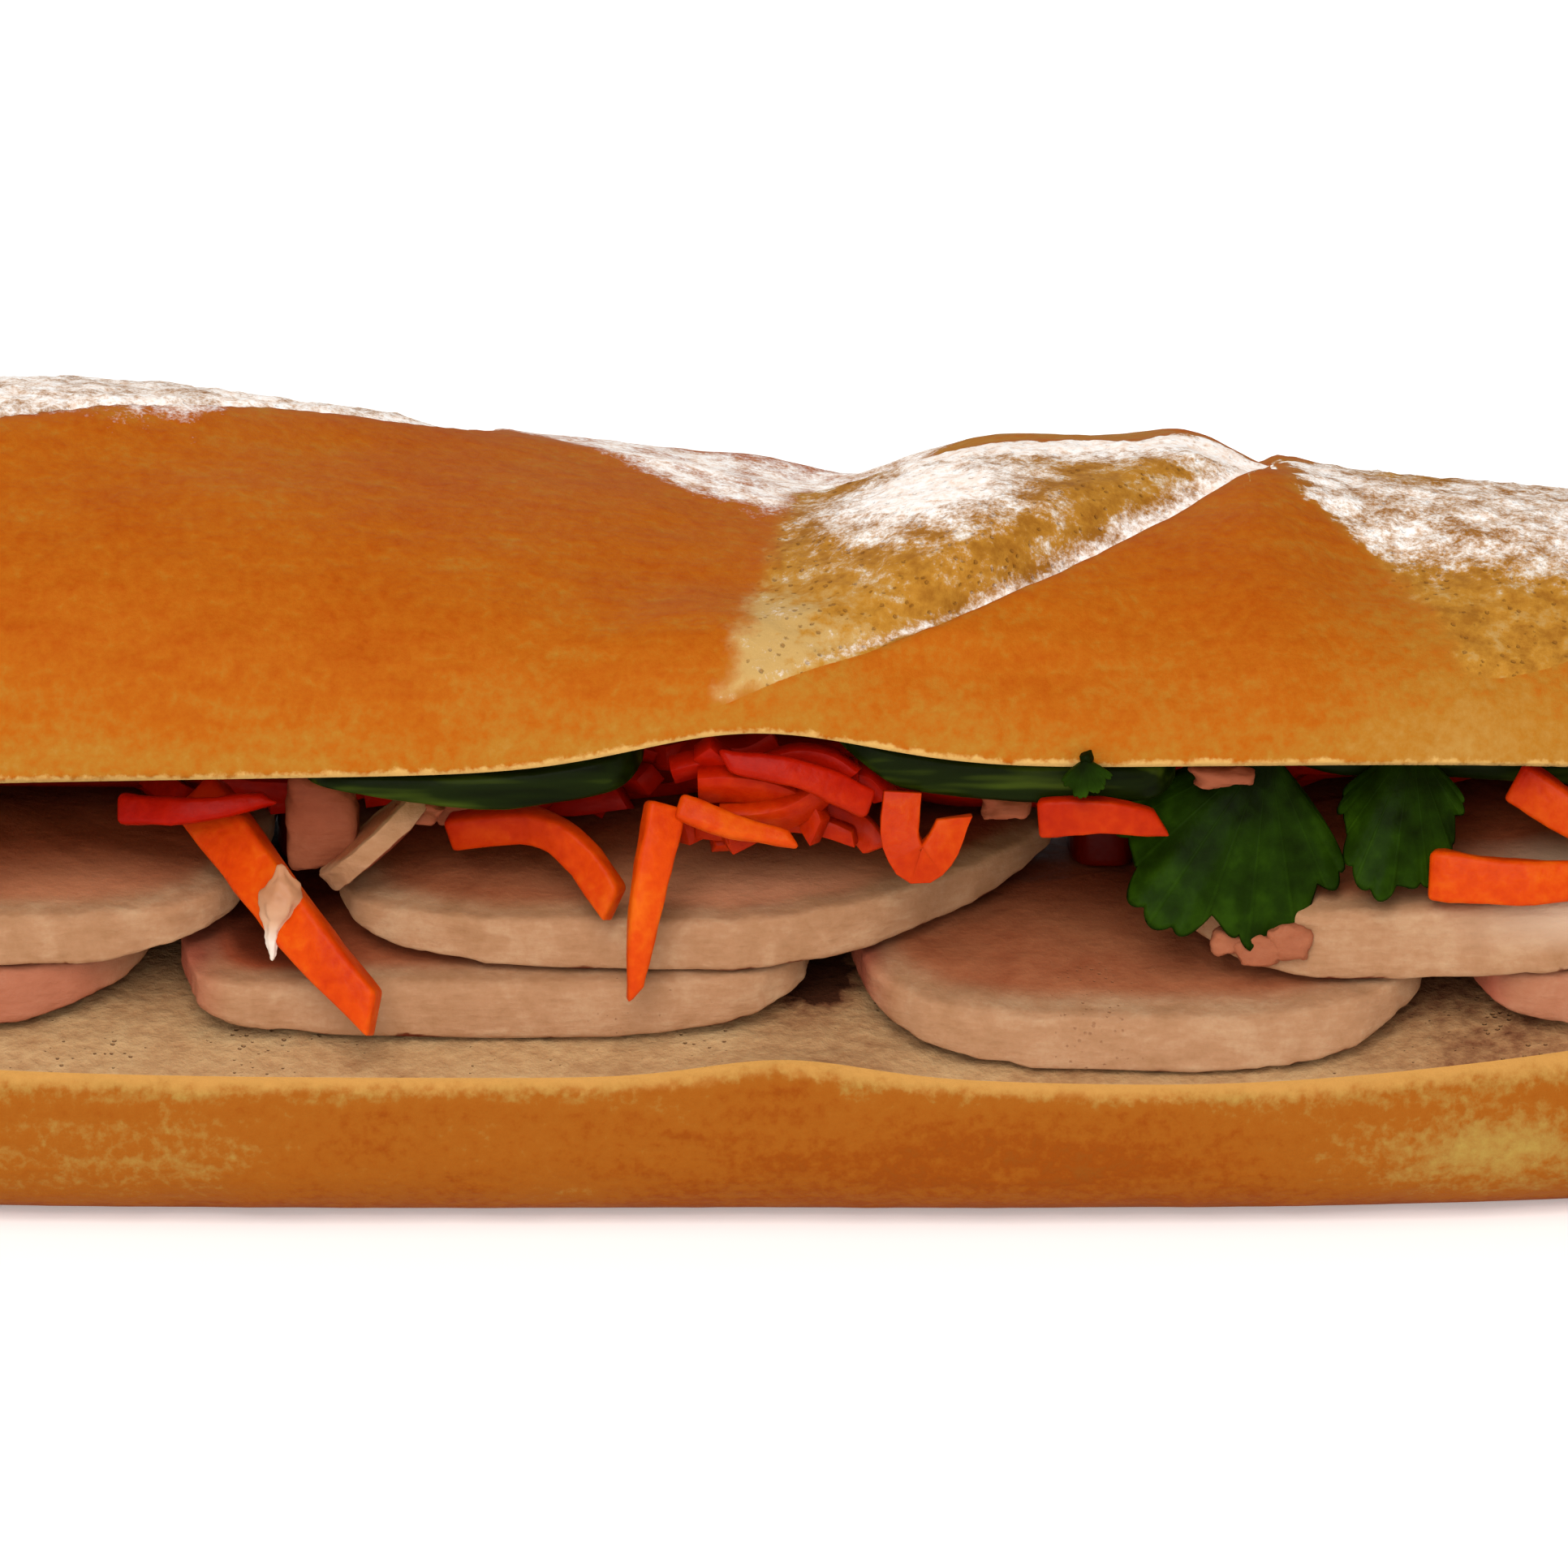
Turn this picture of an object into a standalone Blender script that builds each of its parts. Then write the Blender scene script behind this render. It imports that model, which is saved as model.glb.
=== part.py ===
"""A filled banh mi: a short baguette split lengthwise, with two layers of sliced pork on the lower
half, a bed of pickled carrot, long cucumber slices under the lid, and carrot strips and coriander
hanging from the mouth.

Metres, +Z up. The loaf runs along X and its shown side faces -Y. The origin is on the flat base,
under the middle. Every layer follows one crowned surface, crumb_height, so that the stacked pieces
never meet.
"""

import math

import bmesh
import bpy
from mathutils import Vector

MM = 0.001

# The loaf
HALF_LENGTH = 135 * MM
HALF_WIDTH = 36.5 * MM
LOWER_LIP = 16.4 * MM  # height of the lower half's cut edge
LOWER_DIP = 1.0 * MM  # how much it sinks under the heaviest slice
LOWER_TIP_RISE = 2.5 * MM  # how much it rises at the tips
UPPER_LIP = 47.5 * MM  # height of the lid's cut edge
UPPER_LIFT = 3.8 * MM  # how far the carrots lift it near the middle
UPPER_TILT = 0.014  # how much it climbs per metre, towards +X
UPPER_SAG = 1.2 * MM  # how much it sinks evenly towards the tips
TIP_DROOP = 14.0 * MM  # how much more it droops at the very tips
LID_RISE = 30.5 * MM  # from the lid's cut edge to its crest, on the left
LID_FALL = 12.2 * MM  # how much lower the crest is on the right
CROWN = 7.0 * MM  # how far the lower crumb bulges in the middle
CEILING = 1.5 * MM  # how far the lid's cut face is hollowed
LID_TIP = 4 * MM  # height of the lid's tips above its cut edge
BASE_TIP = 13 * MM  # height of the lower half's tips
GAP = 0.35 * MM  # clearance between pieces that touch
SLICE_GAP = 0.5 * MM  # clearance under each slice of pork
SWELL = 1.9 * MM  # how far the front and back crumb edges swell up under the carrots

# The filling
PORK_LOWER = 6.0 * MM
PORK_UPPER = 5.3 * MM
PORK_THICK = 7.3 * MM
CUCUMBER = 4.8 * MM
CUCUMBER_GAP = 0.5 * MM  # clearance between the cucumber and the lid's cut face
BED_HALF_LENGTH = 100 * MM
BED_HALF_DEPTH = 12 * MM
BED_MIDDLE = 3 * MM  # how far behind the middle the bed of carrot lies
BED_WAVE = 0.5 * MM  # how uneven its top is
STRIP = 3.0 * MM  # half of a carrot strip's width across its corners
LEAF_HALF_THICKNESS = 0.35 * MM

# Each slash in the lid, in mm: its front corner, how far its lip and its other edge run before they
# reach the crest, the powers of their bows, the least and most that they may run, how far the torn
# crumb swells between them, and how deep the crust dips beside it.
SLASHES = [
    {"x": -118, "y": -30, "reach": 78.5, "bow": 1.0, "lean": 8.5, "lean_bow": 0.5, "least": 0, "most": 98,
     "mound": 1.5, "dip": 4.5},
    {"x": 4, "y": -36.3, "reach": 58, "bow": 0.526, "lean": 7, "lean_bow": 0.5, "least": 0, "most": 57,
     "mound": 4.0, "dip": 4.5},
    {"x": 76.5, "y": -31.5, "reach": 42, "bow": 0.5, "lean": -22.4, "lean_bow": 1.4, "least": -15,
     "most": 60, "mound": 0.5, "dip": 1.2},
]
SLASH_MIDDLE = 12 * MM  # how far behind the crest the slashes turn back on themselves
SLASH_BACK = 31 * MM  # where they close again
SLASH_END = 14 * MM  # how far a slash takes to open from its end
DIP_RUN = 16 * MM  # how far the dip runs out into the whole crust
DIP_SPREAD = 13 * MM  # and into the torn crumb
MOUND_LEFT = 16 * MM  # how far the torn crumb takes to swell from the dip
MOUND_RIGHT = 10 * MM  # and from the lip
EAR = 2.6 * MM  # height of the lip that the slash lifts
EAR_STEP = 3.5 * MM  # how far the lip's edge takes to rise
EAR_SLOPE = 17 * MM  # how far the crust behind it takes to sink back
EAR_DOWN = 10 * MM  # where the lips lie down, behind the crest
EAR_DOWN_SPREAD = 12 * MM


def bell(distance, spread):
    """1 at no distance, falling to nothing over a few spreads."""
    return math.exp(-((distance / spread) ** 2))


def ease(value):
    """0 below 0, 1 above 1, and smooth between."""
    t = min(1.0, max(0.0, value))
    return t * t * (3 - 2 * t)


def bowed(value, power):
    """A value between -1 and 1 raised to a power, with its sign kept."""
    return math.copysign(abs(value) ** power, value)


# ---------------------------------------------------------------- the loaf's surfaces


def plan_share(x, power=4.0):
    """The loaf's outline from above: 1 in the middle, 0 at the tips."""
    return math.sqrt(max(0.0, 1 - abs(x / HALF_LENGTH) ** power))


def lower_lip(x):
    """The height of the lower half's cut, which sinks a little on the right and rises towards both tips."""
    dip = LOWER_DIP * bell(x - 55 * MM, 25 * MM)
    return LOWER_LIP - dip + LOWER_TIP_RISE * abs(x / HALF_LENGTH) ** 4


def upper_lip(x):
    """The lid's cut edge: lifted by the carrots near the middle, and drooping towards both tips."""
    lifted = UPPER_LIFT * bell(x - 9 * MM, 16 * MM) + UPPER_TILT * x
    share = abs(x / HALF_LENGTH)
    return UPPER_LIP + lifted - UPPER_SAG * share**2 - TIP_DROOP * share**6


def crumb_height(x, y):
    """The lower half's cut face, which every layer of the filling follows."""
    return lower_lip(x) + CROWN * (1 - (y / HALF_WIDTH) ** 2)


def edge_swell(x, y):
    """How far the crumb's outermost edge swells above that face."""
    return SWELL * bell(x - 12 * MM, 11 * MM) * abs(y / HALF_WIDTH) ** 8


def crest_rise(x):
    """How far the lid's crest lies above its cut edge, without the slashes."""
    return LID_RISE - LID_FALL * ease((x + 76 * MM) / (106 * MM))


def ceiling_height(x, y):
    """The lid's cut face."""
    return upper_lip(x) + CEILING * (1 - (y / HALF_WIDTH) ** 2)


def slash_edges(slash, y):
    """(left edge, right lip) of a slash at this y. Its back part is the front part turned round."""

    def front(depth):
        share = max(0.0, 1 - depth / (slash["y"] * MM))
        left = max(slash["lean"] * share ** slash["lean_bow"], slash["least"])
        return left * MM, min(slash["reach"] * share ** slash["bow"], slash["most"]) * MM

    if y <= SLASH_MIDDLE:
        left, lip = front(y)
    else:
        turned_left, turned_lip = front(2 * SLASH_MIDDLE - y)
        across = sum(front(SLASH_MIDDLE))
        left, lip = across - turned_lip, across - turned_left
    return slash["x"] * MM + left, slash["x"] * MM + lip


def slash_relief(x, y):
    """How far the slashes raise or lower the lid's crust here."""
    relief = 0.0
    for slash in SLASHES:
        if not slash["y"] * MM < y < SLASH_BACK:
            continue
        left, lip = slash_edges(slash, y)
        opened = ease(min(y - slash["y"] * MM, SLASH_BACK - y) / SLASH_END)
        relief -= slash["dip"] * MM * opened * bell(x - left, DIP_RUN if x < left else DIP_SPREAD)
        if left < x < lip:
            inside = min((x - left) / MOUND_LEFT, (lip - x) / MOUND_RIGHT)
            relief += slash["mound"] * MM * opened * ease(inside)
        raised = ease(3 * opened) * (1 - bell(y - EAR_DOWN, EAR_DOWN_SPREAD))
        beyond = x - lip - EAR_STEP
        relief += EAR * raised * bell(beyond, EAR_SLOPE if beyond > 0 else EAR_STEP)
    return relief


# ---------------------------------------------------------------- making solids


def material(name, colour, roughness):
    """A plain Principled material."""
    made = bpy.data.materials.get(name) or bpy.data.materials.new(name)
    made.use_nodes = True
    shader = made.node_tree.nodes["Principled BSDF"]
    shader.inputs["Base Color"].default_value = (*colour, 1.0)
    shader.inputs["Roughness"].default_value = roughness
    return made


CRUST = ("crust", (0.50, 0.20, 0.035), 0.55)
MEAT = ("pork", (0.60, 0.36, 0.23), 0.5)
CARROT = ("carrot", (0.78, 0.15, 0.01), 0.35)
GREEN = ("cucumber", (0.10, 0.19, 0.05), 0.35)
HERB = ("coriander", (0.03, 0.12, 0.02), 0.45)


def place(name, data, finish, collection):
    """Links mesh or curve data as one named node with its material."""
    node = bpy.data.objects.new(name, data)
    data.materials.append(material(*finish))
    collection.objects.link(node)
    return node


def shaped_ball(name, segments, rings, shape, finish, collection):
    """A UV sphere with every point of the unit sphere moved by shape(point) to its place."""
    ball = bmesh.new()
    bmesh.ops.create_uvsphere(ball, u_segments=segments, v_segments=rings, radius=1.0)
    for vertex in ball.verts:
        vertex.co = shape(vertex.co.normalized())
    bmesh.ops.triangulate(ball, faces=ball.faces[:])
    mesh = bpy.data.meshes.new(name)
    ball.to_mesh(mesh)
    ball.free()
    mesh.shade_smooth()
    return place(name, mesh, finish, collection)


def latitude_of(point):
    """-1 at the unit sphere's lower pole, 0 at its equator and 1 at its upper pole."""
    return math.asin(max(-1.0, min(1.0, point.z))) / (math.pi / 2)


def slab_profile(point):
    """(share of the radius, share of the thickness) of a point on the unit sphere, for a slab with
    flat faces, a nearly upright rim and crisp edges."""
    level = latitude_of(point)
    return 1 - abs(level) ** 2.4, 0.5 + 0.5 * math.copysign(1 - (1 - abs(level)) ** 7, level)


# ---------------------------------------------------------------- the bread

# How many segments go round each half, and how many of them lie above its lips.
LID_AROUND = 36
LID_UPPER = 26
BASE_AROUND = 24
BASE_UPPER = 8
SIDE_SQUARENESS = 0.48  # 1 is a round side to the lower half, and less is squarer
FLOOR_SHARE = 1.08  # how far past the floor its section would reach, were it not cut flat there


def along_loaf(point, upper_share):
    """(x, turn) of a point on the unit sphere whose poles are the loaf's tips. turn is 0 at the back
    lip and half a turn at the front lip, positive above them and negative below. upper_share of the
    segments lie above."""
    latitude = latitude_of(point)
    x = HALF_LENGTH * (0.55 * latitude + 0.45 * math.sin(latitude * math.pi / 2))
    share = math.atan2(point.y, point.x) / (2 * math.pi) % 1.0
    if share > 1 - 1e-6:
        share = 0.0
    if share <= upper_share + 1e-6:
        return x, math.pi * min(1.0, share / upper_share)
    return x, -math.pi * (1 - share) / (1 - upper_share)


def towards_tip(x, height, tip_height):
    """Draws a section's height in to the tip's over the last stretch of the loaf."""
    kept = min(1.0, 1.05 * plan_share(x, 8.0))
    return tip_height + (height - tip_height) * kept


def lid_point(point):
    """The lid: a domed, slashed crust over a hollowed cut face."""
    x, turn = along_loaf(point, LID_UPPER / LID_AROUND)
    y = HALF_WIDTH * plan_share(x) * math.cos(turn)
    tip = upper_lip(x) + LID_TIP
    if turn <= 0:
        return Vector((x, y, towards_tip(x, ceiling_height(x, y), tip)))
    rise = crest_rise(x)
    height = rise * math.sin(turn) ** 0.9
    outwards = Vector((0, y / HALF_WIDTH**2, height / rise**2))
    outwards.normalize()
    kept = plan_share(x, 6.0) * ease(1.4 * math.sin(turn))
    shift = outwards * slash_relief(x, y) * kept
    return Vector((x, y + shift.y, towards_tip(x, upper_lip(x) + height + shift.z, tip)))


def base_point(point):
    """The lower half: a flat-bottomed crust under a crowned cut face."""
    x, turn = along_loaf(point, BASE_UPPER / BASE_AROUND)
    half = HALF_WIDTH * plan_share(x)
    if turn >= 0:
        y = half * math.cos(turn)
        return Vector((x, y, towards_tip(x, crumb_height(x, y) + edge_swell(x, y), BASE_TIP)))
    y = half * bowed(math.cos(turn), SIDE_SQUARENESS)
    depth = FLOOR_SHARE * abs(math.sin(turn)) ** SIDE_SQUARENESS
    lip = lower_lip(x) + edge_swell(x, HALF_WIDTH)
    return Vector((x, y, towards_tip(x, max(0.0, lip * (1 - depth)), BASE_TIP)))


def make_bread(collection):
    shaped_ball("bread_lid", LID_AROUND, 44, lid_point, CRUST, collection)
    shaped_ball("bread_base", BASE_AROUND, 28, base_point, CRUST, collection)


# ---------------------------------------------------------------- the pork

# Each slice: its middle, its half length and half depth in mm, its phase of unevenness and its thickness.
LOWER_SLICES = {
    "pork_lower_1": (-85, 0, 35.5, 31, 0.4, PORK_LOWER),
    "pork_lower_2": (-16.5, 0, 32.5, 31, 1.9, PORK_LOWER),
    "pork_lower_3": (48.3, -3.5, 30.3, 33, 3.1, PORK_LOWER),
    "pork_lower_4": (103.5, 0, 24, 27, 4.4, PORK_LOWER),
}
UPPER_SLICES = {
    "pork_upper_1": (-73, 0.5, 34, 30.5, 2.6, PORK_UPPER),
    "pork_upper_2": (3.5, -0.5, 36.5, 31, 5.2, PORK_UPPER),
    "pork_upper_3": (80.5, -0.5, 33, 30, 0.9, PORK_THICK),
}
LOWER_LIFT = SLICE_GAP
UPPER_LIFT_OFF = SLICE_GAP + PORK_LOWER + SLICE_GAP

# The thin end of the roast that leans between the first two upper slices: its middle in mm, and its
# lean in degrees.
OFFCUT_MIDDLE = (-28.5, -26, 37.9)
OFFCUT_LENGTH = 13 * MM
OFFCUT_DEPTH = 9 * MM
OFFCUT_THICK = 2.2 * MM
OFFCUT_LEAN = 42


def slice_shape(middle_x, middle_y, half_x, half_y, phase, thickness, lift):
    """A slice of the roast, laid on the crumb's crown, whose underside thins towards both ends."""

    def shape(point):
        turn = math.atan2(point.y, point.x)
        radius, share = slab_profile(point)
        uneven = 1 - 0.02 * (1 + math.sin(2 * turn + phase)) - 0.012 * (1 + math.sin(5 * turn + phase))
        along = radius * uneven * math.cos(turn)
        across = radius * uneven * math.sin(turn)
        x = (middle_x + half_x * along) * MM
        y = (middle_y + half_y * across) * MM
        kept = thickness * (1 - 0.55 * abs(along) ** 3)
        return Vector((x, y, crumb_height(x, y) + lift + thickness - kept * (1 - share)))

    return shape


def offcut_point(point):
    """A thin end of the roast that leans between two slices."""
    turn = math.atan2(point.y, point.x)
    radius, share = slab_profile(point)
    along = OFFCUT_LENGTH / 2 * radius * math.cos(turn)
    up = OFFCUT_THICK * (share - 0.5)
    lean = math.radians(OFFCUT_LEAN)
    x = along * math.cos(lean) - up * math.sin(lean)
    z = along * math.sin(lean) + up * math.cos(lean)
    return Vector(OFFCUT_MIDDLE) * MM + Vector((x, OFFCUT_DEPTH / 2 * radius * math.sin(turn), z))


def make_pork(collection):
    for slices, lift in ((LOWER_SLICES, LOWER_LIFT), (UPPER_SLICES, UPPER_LIFT_OFF)):
        for name, sizes in slices.items():
            shaped_ball(name, 22, 8, slice_shape(*sizes, lift), MEAT, collection)
    shaped_ball("pork_offcut", 14, 6, offcut_point, MEAT, collection)


def pork_top(x, y):
    """The height of the upper slices' faces, which step up to the thick one on the right."""
    thick = PORK_UPPER + (PORK_THICK - PORK_UPPER) * ease((x - 42 * MM) / (5 * MM))
    return crumb_height(x, y) + UPPER_LIFT_OFF + thick


# ---------------------------------------------------------------- the vegetables

# Each long slice: its two ends along X, and its two skins along Y, in mm.
CUCUMBERS = {
    "cucumber_1": (-112, -41, -19, 3.5),
    "cucumber_2": (-36, -1.5, -34.5, -10),
    "cucumber_3": (55, 113, -25, -3),
    "cucumber_4": (-108, -53, 8, 30),
    "cucumber_5": (-48, 38, 5, 30),
    "cucumber_6": (43, 112, 4, 28),
    "cucumber_7": (16, 51, -33.5, -10),
}

# Clumps of carrot that have dropped into the gaps between the upper slices, each by its middle in mm.
CLUMPS = {"carrot_clump_1": (-36.1, 6), "carrot_clump_2": (44.3, 6)}
CLUMP_HALF_LENGTH = 3.9
CLUMP_HALF_DEPTH = 14


def cucumber_shape(low_x, high_x, low_y, high_y):
    """A slice cut along the cucumber: blunt ends, straight skins, held against the lid's cut face."""

    def shape(point):
        latitude = latitude_of(point)
        along = 0.8 * latitude + 0.2 * math.sin(latitude * math.pi / 2)
        kept = math.sqrt(1 - abs(latitude) ** 6)
        turn = math.atan2(point.y, point.x)
        across = kept * bowed(math.cos(turn), 0.5)
        level = kept * bowed(math.sin(turn), 0.5)
        x = ((low_x + high_x) / 2 + (high_x - low_x) / 2 * along) * MM
        y = ((low_y + high_y) / 2 + (high_y - low_y) / 2 * across) * MM
        return Vector((x, y, ceiling_height(x, y) - CUCUMBER_GAP - CUCUMBER * (0.5 - 0.5 * level)))

    return shape


def carrot_bed_point(point):
    """The bed of carrot: an uneven heap between the pork and the cucumber."""
    level = latitude_of(point)
    turn = math.atan2(point.y, point.x)
    out = math.cos(level * math.pi / 2) ** 0.6
    uneven = 0.93 + 0.035 * math.sin(7 * turn + 1) + 0.03 * math.sin(12 * turn)
    x = BED_HALF_LENGTH * out * bowed(math.cos(turn), 0.7)
    y = BED_MIDDLE + BED_HALF_DEPTH * out * uneven * bowed(math.sin(turn), 0.5)
    floor = pork_top(x, y) + 2 * GAP
    roof = ceiling_height(x, y) - CUCUMBER_GAP - CUCUMBER - 2 * GAP
    roof -= BED_WAVE * (1 + math.sin(x / (6 * MM)) * math.sin(y / (5 * MM)))
    share = 0.5 + 0.5 * bowed(level, 0.6)
    return Vector((x, y, floor + (roof - floor) * share))


def clump_shape(middle_x, middle_y):
    """A block of strips with rounded corners, between the lower slices and the bed."""

    def shape(point):
        turn = math.atan2(point.y, point.x)
        radius, share = slab_profile(point)
        x = (middle_x + CLUMP_HALF_LENGTH * radius * bowed(math.cos(turn), 0.5)) * MM
        y = (middle_y + CLUMP_HALF_DEPTH * radius * bowed(math.sin(turn), 0.5)) * MM
        floor = crumb_height(x, y) + SLICE_GAP + PORK_LOWER + 2 * GAP
        return Vector((x, y, floor + (PORK_UPPER - 2 * GAP) * share))

    return shape


def make_vegetables(collection):
    for name, edges in CUCUMBERS.items():
        shaped_ball(name, 12, 10, cucumber_shape(*edges), GREEN, collection)
    shaped_ball("carrot_bed", 28, 8, carrot_bed_point, CARROT, collection)
    for name, middle in CLUMPS.items():
        shaped_ball(name, 12, 6, clump_shape(*middle), CARROT, collection)


# ---------------------------------------------------------------- the strips and the leaves

# Routes in mm of the strips that hang from the mouth, each from its hidden end to its tip, and its
# size as a share.
STRIPS = {
    "carrot_strip_1": ([(-46, -23, 41.5), (-40, -29.5, 35.5), (-35, -35, 30.4), (-28, -38.5, 23.4)], 1.0),
    "carrot_strip_2": ([(-54, -27, 41), (-46, -29.5, 41.2), (-37, -29, 41.8)], 0.75),
    "carrot_strip_3": ([(-21, -25, 38), (-13, -28, 39.5), (-8, -31, 37.4), (-5, -34, 33)], 0.8),
    "carrot_strip_4": ([(0.5, -33.5, 43.5), (-0.8, -35.3, 38), (-1.9, -36.5, 31.5), (-2.6, -36.8, 25)], 0.8),
    "carrot_strip_5": ([(4.5, -34.2, 45.5), (9, -34.6, 42.5), (15, -34.6, 39.4)], 0.85),
    "carrot_strip_6": ([(20.5, -34, 44.6), (14, -34.4, 47.6), (6, -34, 49)], 0.75),
    "carrot_strip_7": ([(23.4, -33.4, 44), (22.6, -34.6, 38.5), (25.8, -35, 36.4), (29, -34.6, 38.5)], 0.8),
    "carrot_strip_8": ([(37, -33.5, 40.5), (43, -34.5, 41), (49, -34.2, 40.6)], 0.8),
    "carrot_strip_9": ([(75.5, -31.5, 35.8), (84, -33, 35.4), (96, -32, 36)], 1.0),
    "carrot_strip_10": ([(84, -28.5, 44.6), (90, -31, 41.4), (97, -31, 40)], 0.9),
    "carrot_strip_11": ([(30, 32.5, 41), (26, 35, 36), (20, 37, 30), (17, 38, 24)], 0.95),
    "carrot_strip_12": ([(-8, 33.5, 43), (-16, 35, 41), (-24, 35, 36)], 0.8),
    "carrot_strip_13": ([(-62, 32.5, 40), (-70, 34, 38.5), (-79, 33, 37)], 0.85),
    "carrot_strip_14": ([(66, 29, 38.5), (74, 31.5, 38), (80, 33, 34)], 0.85),
}

# Each leaf: its middle in mm, its lean about X and its turn in its own plane in degrees, and its
# width in mm.
LEAVES = {
    "coriander_1": ((54.5, -38.2, 37), 82, 172, 19),
    "coriander_2": ((73.2, -35.4, 38.5), 84, 186, 15),
    "coriander_3": ((41.5, -38.0, 46.3), 78, 120, 6.5),
    "coriander_4": ((-44, 39.2, 37.5), 98, 175, 17),
    "coriander_5": ((44, 39.2, 38), 96, 200, 15),
}


def smooth_route(points, steps=2):
    """Points on a Catmull-Rom curve through the given ones."""
    ends = [2 * points[0] - points[1], *points, 2 * points[-1] - points[-2]]
    route = []
    for before, start, end, after in zip(ends, ends[1:], ends[2:], ends[3:]):
        for step in range(steps):
            t = step / steps
            linear = (end - before) * t
            square = (2 * before - 5 * start + 4 * end - after) * t**2
            cubic = (3 * start - before - 3 * end + after) * t**3
            route.append(0.5 * (2 * start + linear + square + cubic))
    return [*route, points[-1]]


def make_strip(name, points, size, collection):
    """A square julienne strip that narrows at both ends: a curve with a four-sided bevel."""
    route = smooth_route([Vector(point) * MM for point in points])
    curve = bpy.data.curves.new(name, "CURVE")
    curve.dimensions = "3D"
    curve.bevel_depth = STRIP * size
    curve.bevel_resolution = 0
    curve.use_fill_caps = True
    spline = curve.splines.new("POLY")
    spline.points.add(len(route) - 1)
    for index, (point, place_at) in enumerate(zip(spline.points, route)):
        share = index / (len(route) - 1)
        point.co = (*place_at, 1.0)
        point.radius = 0.55 + 0.45 * math.sin(math.pi * min(0.9, max(0.12, share))) ** 0.6
    place(name, curve, CARROT, collection)


def leaf_outline(width, steps=30):
    """A coriander leaflet: three round lobes with blunt teeth, drawn from the stalk round to the stalk."""
    points = []
    for step in range(steps):
        turn = 2 * math.pi * step / steps
        lobes = 0.80 + 0.20 * math.cos(3 * turn)
        teeth = 1 + 0.07 * math.cos(12 * turn)
        reach = width / 2 * lobes * teeth
        points.append((reach * math.sin(turn), reach * math.cos(turn)))
    return points


def make_leaf(name, middle, lean, turn, width, collection):
    """A flat leaf with a real thickness, leaned and turned into place."""
    curve = bpy.data.curves.new(name, "CURVE")
    curve.dimensions = "2D"
    curve.fill_mode = "BOTH"
    curve.extrude = LEAF_HALF_THICKNESS
    outline = leaf_outline(width * MM)
    spline = curve.splines.new("POLY")
    spline.points.add(len(outline) - 1)
    for point, (x, y) in zip(spline.points, outline):
        point.co = (x, y, 0, 1.0)
    spline.use_cyclic_u = True
    leaf = place(name, curve, HERB, collection)
    leaf.location = Vector(middle) * MM
    leaf.rotation_euler = (math.radians(lean), 0, 0)
    leaf.rotation_euler.rotate_axis("Z", math.radians(turn))


def make_trimmings(collection):
    for name, (points, size) in STRIPS.items():
        make_strip(name, points, size, collection)
    for name, (middle, lean, turn, width) in LEAVES.items():
        make_leaf(name, middle, lean, turn, width, collection)


# ---------------------------------------------------------------- the sandwich


def main():
    for old in list(bpy.data.objects):
        bpy.data.objects.remove(old)
    sandwich = bpy.data.collections.new("banh_mi")
    bpy.context.scene.collection.children.link(sandwich)
    make_bread(sandwich)
    make_pork(sandwich)
    make_vegetables(sandwich)
    make_trimmings(sandwich)


main()
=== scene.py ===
"""The looks of a banh mi: a floured, slashed baguette around roast pork, carrot, cucumber and coriander."""

import math

import bpy
import numpy as np
from mathutils import Matrix, Vector


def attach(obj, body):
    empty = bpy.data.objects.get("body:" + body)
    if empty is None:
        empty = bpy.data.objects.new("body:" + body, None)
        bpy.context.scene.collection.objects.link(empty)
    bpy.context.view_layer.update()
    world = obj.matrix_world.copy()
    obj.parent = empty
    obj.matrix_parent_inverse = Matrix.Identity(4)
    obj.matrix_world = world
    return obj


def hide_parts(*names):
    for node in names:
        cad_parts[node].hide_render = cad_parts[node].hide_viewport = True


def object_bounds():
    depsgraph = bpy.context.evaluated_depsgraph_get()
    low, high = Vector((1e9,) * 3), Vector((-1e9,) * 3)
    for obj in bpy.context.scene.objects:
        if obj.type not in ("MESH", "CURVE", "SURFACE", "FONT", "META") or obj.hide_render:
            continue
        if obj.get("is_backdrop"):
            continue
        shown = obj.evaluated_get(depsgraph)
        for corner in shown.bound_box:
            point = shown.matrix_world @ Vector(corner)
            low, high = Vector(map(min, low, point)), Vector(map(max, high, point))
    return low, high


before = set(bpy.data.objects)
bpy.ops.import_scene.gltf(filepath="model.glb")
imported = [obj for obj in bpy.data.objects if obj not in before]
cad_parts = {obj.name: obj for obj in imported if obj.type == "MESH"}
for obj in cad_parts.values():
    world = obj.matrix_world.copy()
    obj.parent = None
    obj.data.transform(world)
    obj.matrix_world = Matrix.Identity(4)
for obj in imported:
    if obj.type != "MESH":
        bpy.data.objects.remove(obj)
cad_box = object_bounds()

# ---------------------------------------------------------------- the table and the light
# A white table top in a white room, lit by a big soft lamp above and in front of the sandwich, a lower
# one that reaches into its mouth, and weaker ones beside and behind it. A long lens looks a little down.

MM = 0.001
VIEW_ELEVATION = math.radians(15)
VIEW_WIDTH = 154.6 * MM  # how much of the loaf the picture takes in
VIEW_CENTRE = Vector((12.0, -27.0, 43.79)) * MM
LENS, SENSOR = 205.0, 36.0

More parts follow.
